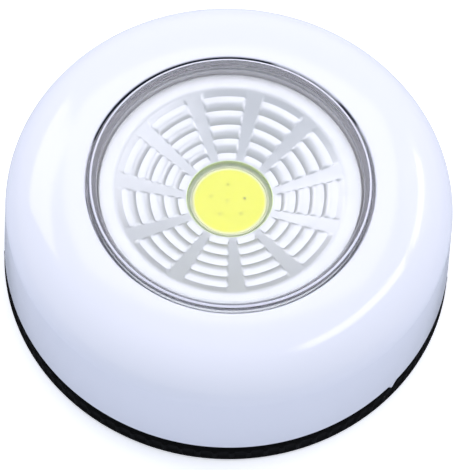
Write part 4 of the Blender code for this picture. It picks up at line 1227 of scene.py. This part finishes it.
def makeScrews(name, group, setup, tree, finish):
    radius, height, edge, core = pick(setup, "headRadius", "headHeight", "headEdge", "core")
    bevel, half, side = pick(setup, "headRound", "recessHalf", "recessWidth")
    neckRun, neckRise = setup["neck"]
    tip, taper = setup["point"]
    length = group["length"]
    outline = [(0, 0), *arc((radius - bevel, bevel), bevel, bevel, -90, 0, 6), (radius, height - edge)]
    outline += [(radius - edge, height), (core + neckRun, height), (core, height + neckRise), (core, length - taper)]
    outline += [(tip, length), (0, length)]
    made = lathePiece(name, outline, None, 32)
    cross = bmesh.new()
    plan = [(half, -side), (half, side), (side, side), (side, half), (-side, half), (-side, side)]
    addPrism(cross, plan + [(-x, -y) for x, y in plan], setup["recessStart"], setup["recessDepth"])
    weldOn(made, cross, "DIFFERENCE")
    threadLength = length - setup["threadRest"] - height
    growTree(made, tree, {
        "Copies": 3, "Seed": 4, "Distance": group["distance"] * mm, "First Turn": math.radians(group["turn"]),
        "Bottom": group["bottom"] * mm, "Thread Start": (height + setup["threadStart"]) * mm,
        "Thread Length": threadLength * mm, "Thread Turns": threadLength / setup["pitch"],
        "Thread Radius": setup["thread"] * mm,
    }, finish)
    declare(made, group["body"], "steel", *[f"{group['node']}_{index + 1}" for index in range(3)])


zincSteel = drawnMetal("zincSteel", (0.56, 0.57, 0.60), (0.50, 0.51, 0.53), (0.25, 0.4))
screwTree = makeScrewTree(screwSetup)
for groupName, group in screws.items():
    makeScrews(groupName, group, screwSetup, screwTree, zincSteel)
print("screws made")


# Cells: jacketed, with a crimped rim at each end

cellSetup = {
    "start": -21.25, "end": 23.25, "nubHeight": 0.9, "nubRadius": 1.9, "nubFoot": 0.1, "nubRound": 0.15,
    "metalRadius": 4.66,
    "minusEnd": (   # radius, distance from the end
        (0, 0), (4.2, 0), (4.4, 0.08), (4.5, 0.3), (4.62, 0.3), (4.72, 0.12), (4.9, 0.3), (5.12, 0.52), (5.25, 0.85),
    ),
    "plusEnd": (
        (5.25, 0.85), (5.12, 0.52), (4.9, 0.3), (4.72, 0.12), (4.62, 0.3), (4.4, 0.3), (4.3, 0.1), (4.1, 0.02),
        (2.3, 0.02),
    ),
}


def makeCells(setup, jacket, metal):
    end, nub, foot, bevel = pick(setup, "end", "nubRadius", "nubFoot", "nubRound")
    shoulder = end - setup["nubHeight"]
    outline = [(radius, setup["start"] + run) for radius, run in setup["minusEnd"]]
    outline += [(radius, shoulder - run) for radius, run in setup["plusEnd"]]
    outline += [(nub + foot, shoulder - foot), (nub, shoulder + foot), (nub, end - bevel), (nub - bevel, end), (0, end)]
    for index in range(3):
        cell = lathePiece(f"cellBody{index + 1}", outline, jacket, 64)
        cell.data.materials.append(metal)
        for face in cell.data.polygons:
            if face.center.xy.length < setup["metalRadius"] * mm:
                face.material_index = 1
        cell.data.transform(cellMatrix(index, 0))
        declare(cell, "head", "cell_jacket", f"cell_{index + 1}")


cellJacket = mouldedPlastic("cellJacket", (0.12, 0.13, 0.15), (0.10, 0.11, 0.13), (0.22, 0.4), 0.05, 150.0)
cellSteel = drawnMetal("cellSteel", (0.62, 0.61, 0.58), (0.55, 0.54, 0.52), (0.25, 0.4))
makeCells(cellSetup, cellJacket, cellSteel)
print("cells made")


# Adhesive pad: a foam disc whose cut edge bulges a little

padSetup = {"radius": 24.0, "thick": 1.0, "edge": 0.22, "rings": (0.25, 0.5, 0.75, 0.95)}


def makePad(setup, finish):
    radius, thick, edge, rings = pick(setup, "radius", "thick", "edge", "rings")
    outline = [(radius * share, 0) for share in (0, *rings)]
    outline += arc((radius - edge, thick / 2), edge, thick / 2, -90, 90, 8)
    outline += [(radius * share, thick) for share in (*rings[::-1], 0)]
    pad = lathePiece("adhesivePad", outline, finish, 192)
    declare(pad, "base", "foam", "adhesive_pad")


# Closed-cell foam: small bubbles, and a tone that drifts
def makeFoam():
    finish, tree, shader = newFinish("padFoam", Specular_IOR_Level=0.2)
    skin = useGroup(tree, mouldedSkin, Drift_Scale=70.0, Grain_Scale=900.0)
    bubbles = addTerm(tree, "ShaderNodeTexVoronoi", {"Vector": objectPlace(tree), "Scale": 2600.0}, "Distance")
    dress(
        shader, Base_Color=mixColour(skin["Drift"], (0.84, 0.84, 0.82), (0.76, 0.76, 0.73)),
        Roughness=skin["Dulling"] * 0.1 + 0.8, Normal=bump(bubbles, 0.35, 0.2 * mm),
    )
    return finish


makePad(padSetup, makeFoam())
print("pad made")


# Finishes of the CAD nodes that stay as they are

switchSetup = {"pinTop": 5.68}
boardSetup = {"yellowReflectionTint": (6.8, 7.0)}
resistorSetup = {
    "start": (25.6517, 13.5379, 3.9), "turn": -2.5195, "reach": 14.52, "bandHalf": 0.2, "bodyHalf": 1.83,
    "bands": (
        (-1.25, (0.30, 0.12, 0.03)), (-0.45, (0.02, 0.02, 0.02)), (0.35, (0.45, 0.02, 0.02)),
        (1.25, (0.60, 0.45, 0.12)),
    ),
}


# Metal pins below the case's underside
def makeSwitchFinish(setup):
    finish = mouldedPlastic("switchCase", (0.03, 0.03, 0.032), (0.045, 0.045, 0.045), (0.4, 0.55), 0.1, 120.0)
    tree, shader, case = openFinish(finish)
    z = splitPlace(objectPlace(tree))[2]
    pin = calc("LESS_THAN", z, setup["pinTop"] * mm)
    dress(shader, Metallic=pin, Base_Color=mixColour(pin, case, (0.66, 0.65, 0.62)))
    return finish


# Lacquer with four colour bands, and tinned wire ends
def makeResistorFinish(setup):
    finish = mouldedPlastic("resistorLacquer", (0.15, 0.35, 0.55), (0.13, 0.31, 0.50), (0.25, 0.4), 0.05, 400.0)
    tree, shader, tone = openFinish(finish)
    way = Vector((*polar(1, setup["turn"]), 0))
    inputs = {0: objectPlace(tree), 1: way}
    along = addTerm(tree, "ShaderNodeVectorMath", inputs, "Value", operation="DOT_PRODUCT")
    spot = along - ((Vector(setup["start"]) * mm).dot(way) + setup["reach"] / 2 * mm)
    for centre, colour in setup["bands"]:
        away = calc("ABSOLUTE", spot - centre * mm)
        tone = mixColour(calc("LESS_THAN", away, setup["bandHalf"] * mm), tone, colour)
    wire = calc("GREATER_THAN", calc("ABSOLUTE", spot), setup["bodyHalf"] * mm)
    dress(shader, Metallic=wire, Base_Color=mixColour(wire, tone, (0.7, 0.69, 0.66)))
    return finish


# White lacquer, with a painted yellow reflection of the emitter round it
def makeBoardLacquer(setup):
    finish, tree, shader = newFinish("boardLacquer", Specular_IOR_Level=0.4)
    skin = useGroup(tree, mouldedSkin, Drift_Scale=150.0)
    # painted reflection: yellow-green tint of the board near the emitter
    yellowReflection = fade(axisDistance(tree), setup["yellowReflectionTint"], 1.0, 0.0)
    tone = mixColour(skin["Drift"], (0.74, 0.76, 0.70), (0.70, 0.72, 0.66))
    dress(
        shader, Base_Color=mixColour(yellowReflection, tone, (0.70, 0.82, 0.45)), Roughness=skin["Dulling"] * 0.15 + 0.3,
        Normal=bump(skin["Grain"], 0.05, 0.05 * mm),
    )
    return finish


carriedFinishes = {
    "battery_frame": mouldedPlastic("frameGrey", (0.46, 0.47, 0.49), (0.42, 0.43, 0.45), (0.4, 0.55), 0.08, 50.0),
    "button_carrier": mouldedPlastic("carrierGrey", (0.62, 0.63, 0.67), (0.58, 0.59, 0.63), (0.4, 0.55), 0.08, 50.0),
    "cob_board": makeBoardLacquer(boardSetup),
    "contact_link_1": nickelPlate,
    "contact_link_2": nickelPlate,
    "minus_terminal": nickelPlate,
    "plus_terminal": nickelPlate,
    "switch_body": makeSwitchFinish(switchSetup),
    "switch_plunger": mouldedPlastic("plungerWhite", (0.80, 0.80, 0.78), (0.76, 0.76, 0.74), (0.3, 0.45), 0.05, 150.0),
    "resistor": makeResistorFinish(resistorSetup),
}
for nodeName, finish in carriedFinishes.items():
    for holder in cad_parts[nodeName].material_slots:
        holder.material = finish
print("carried-over nodes finished:", len(carriedFinishes))
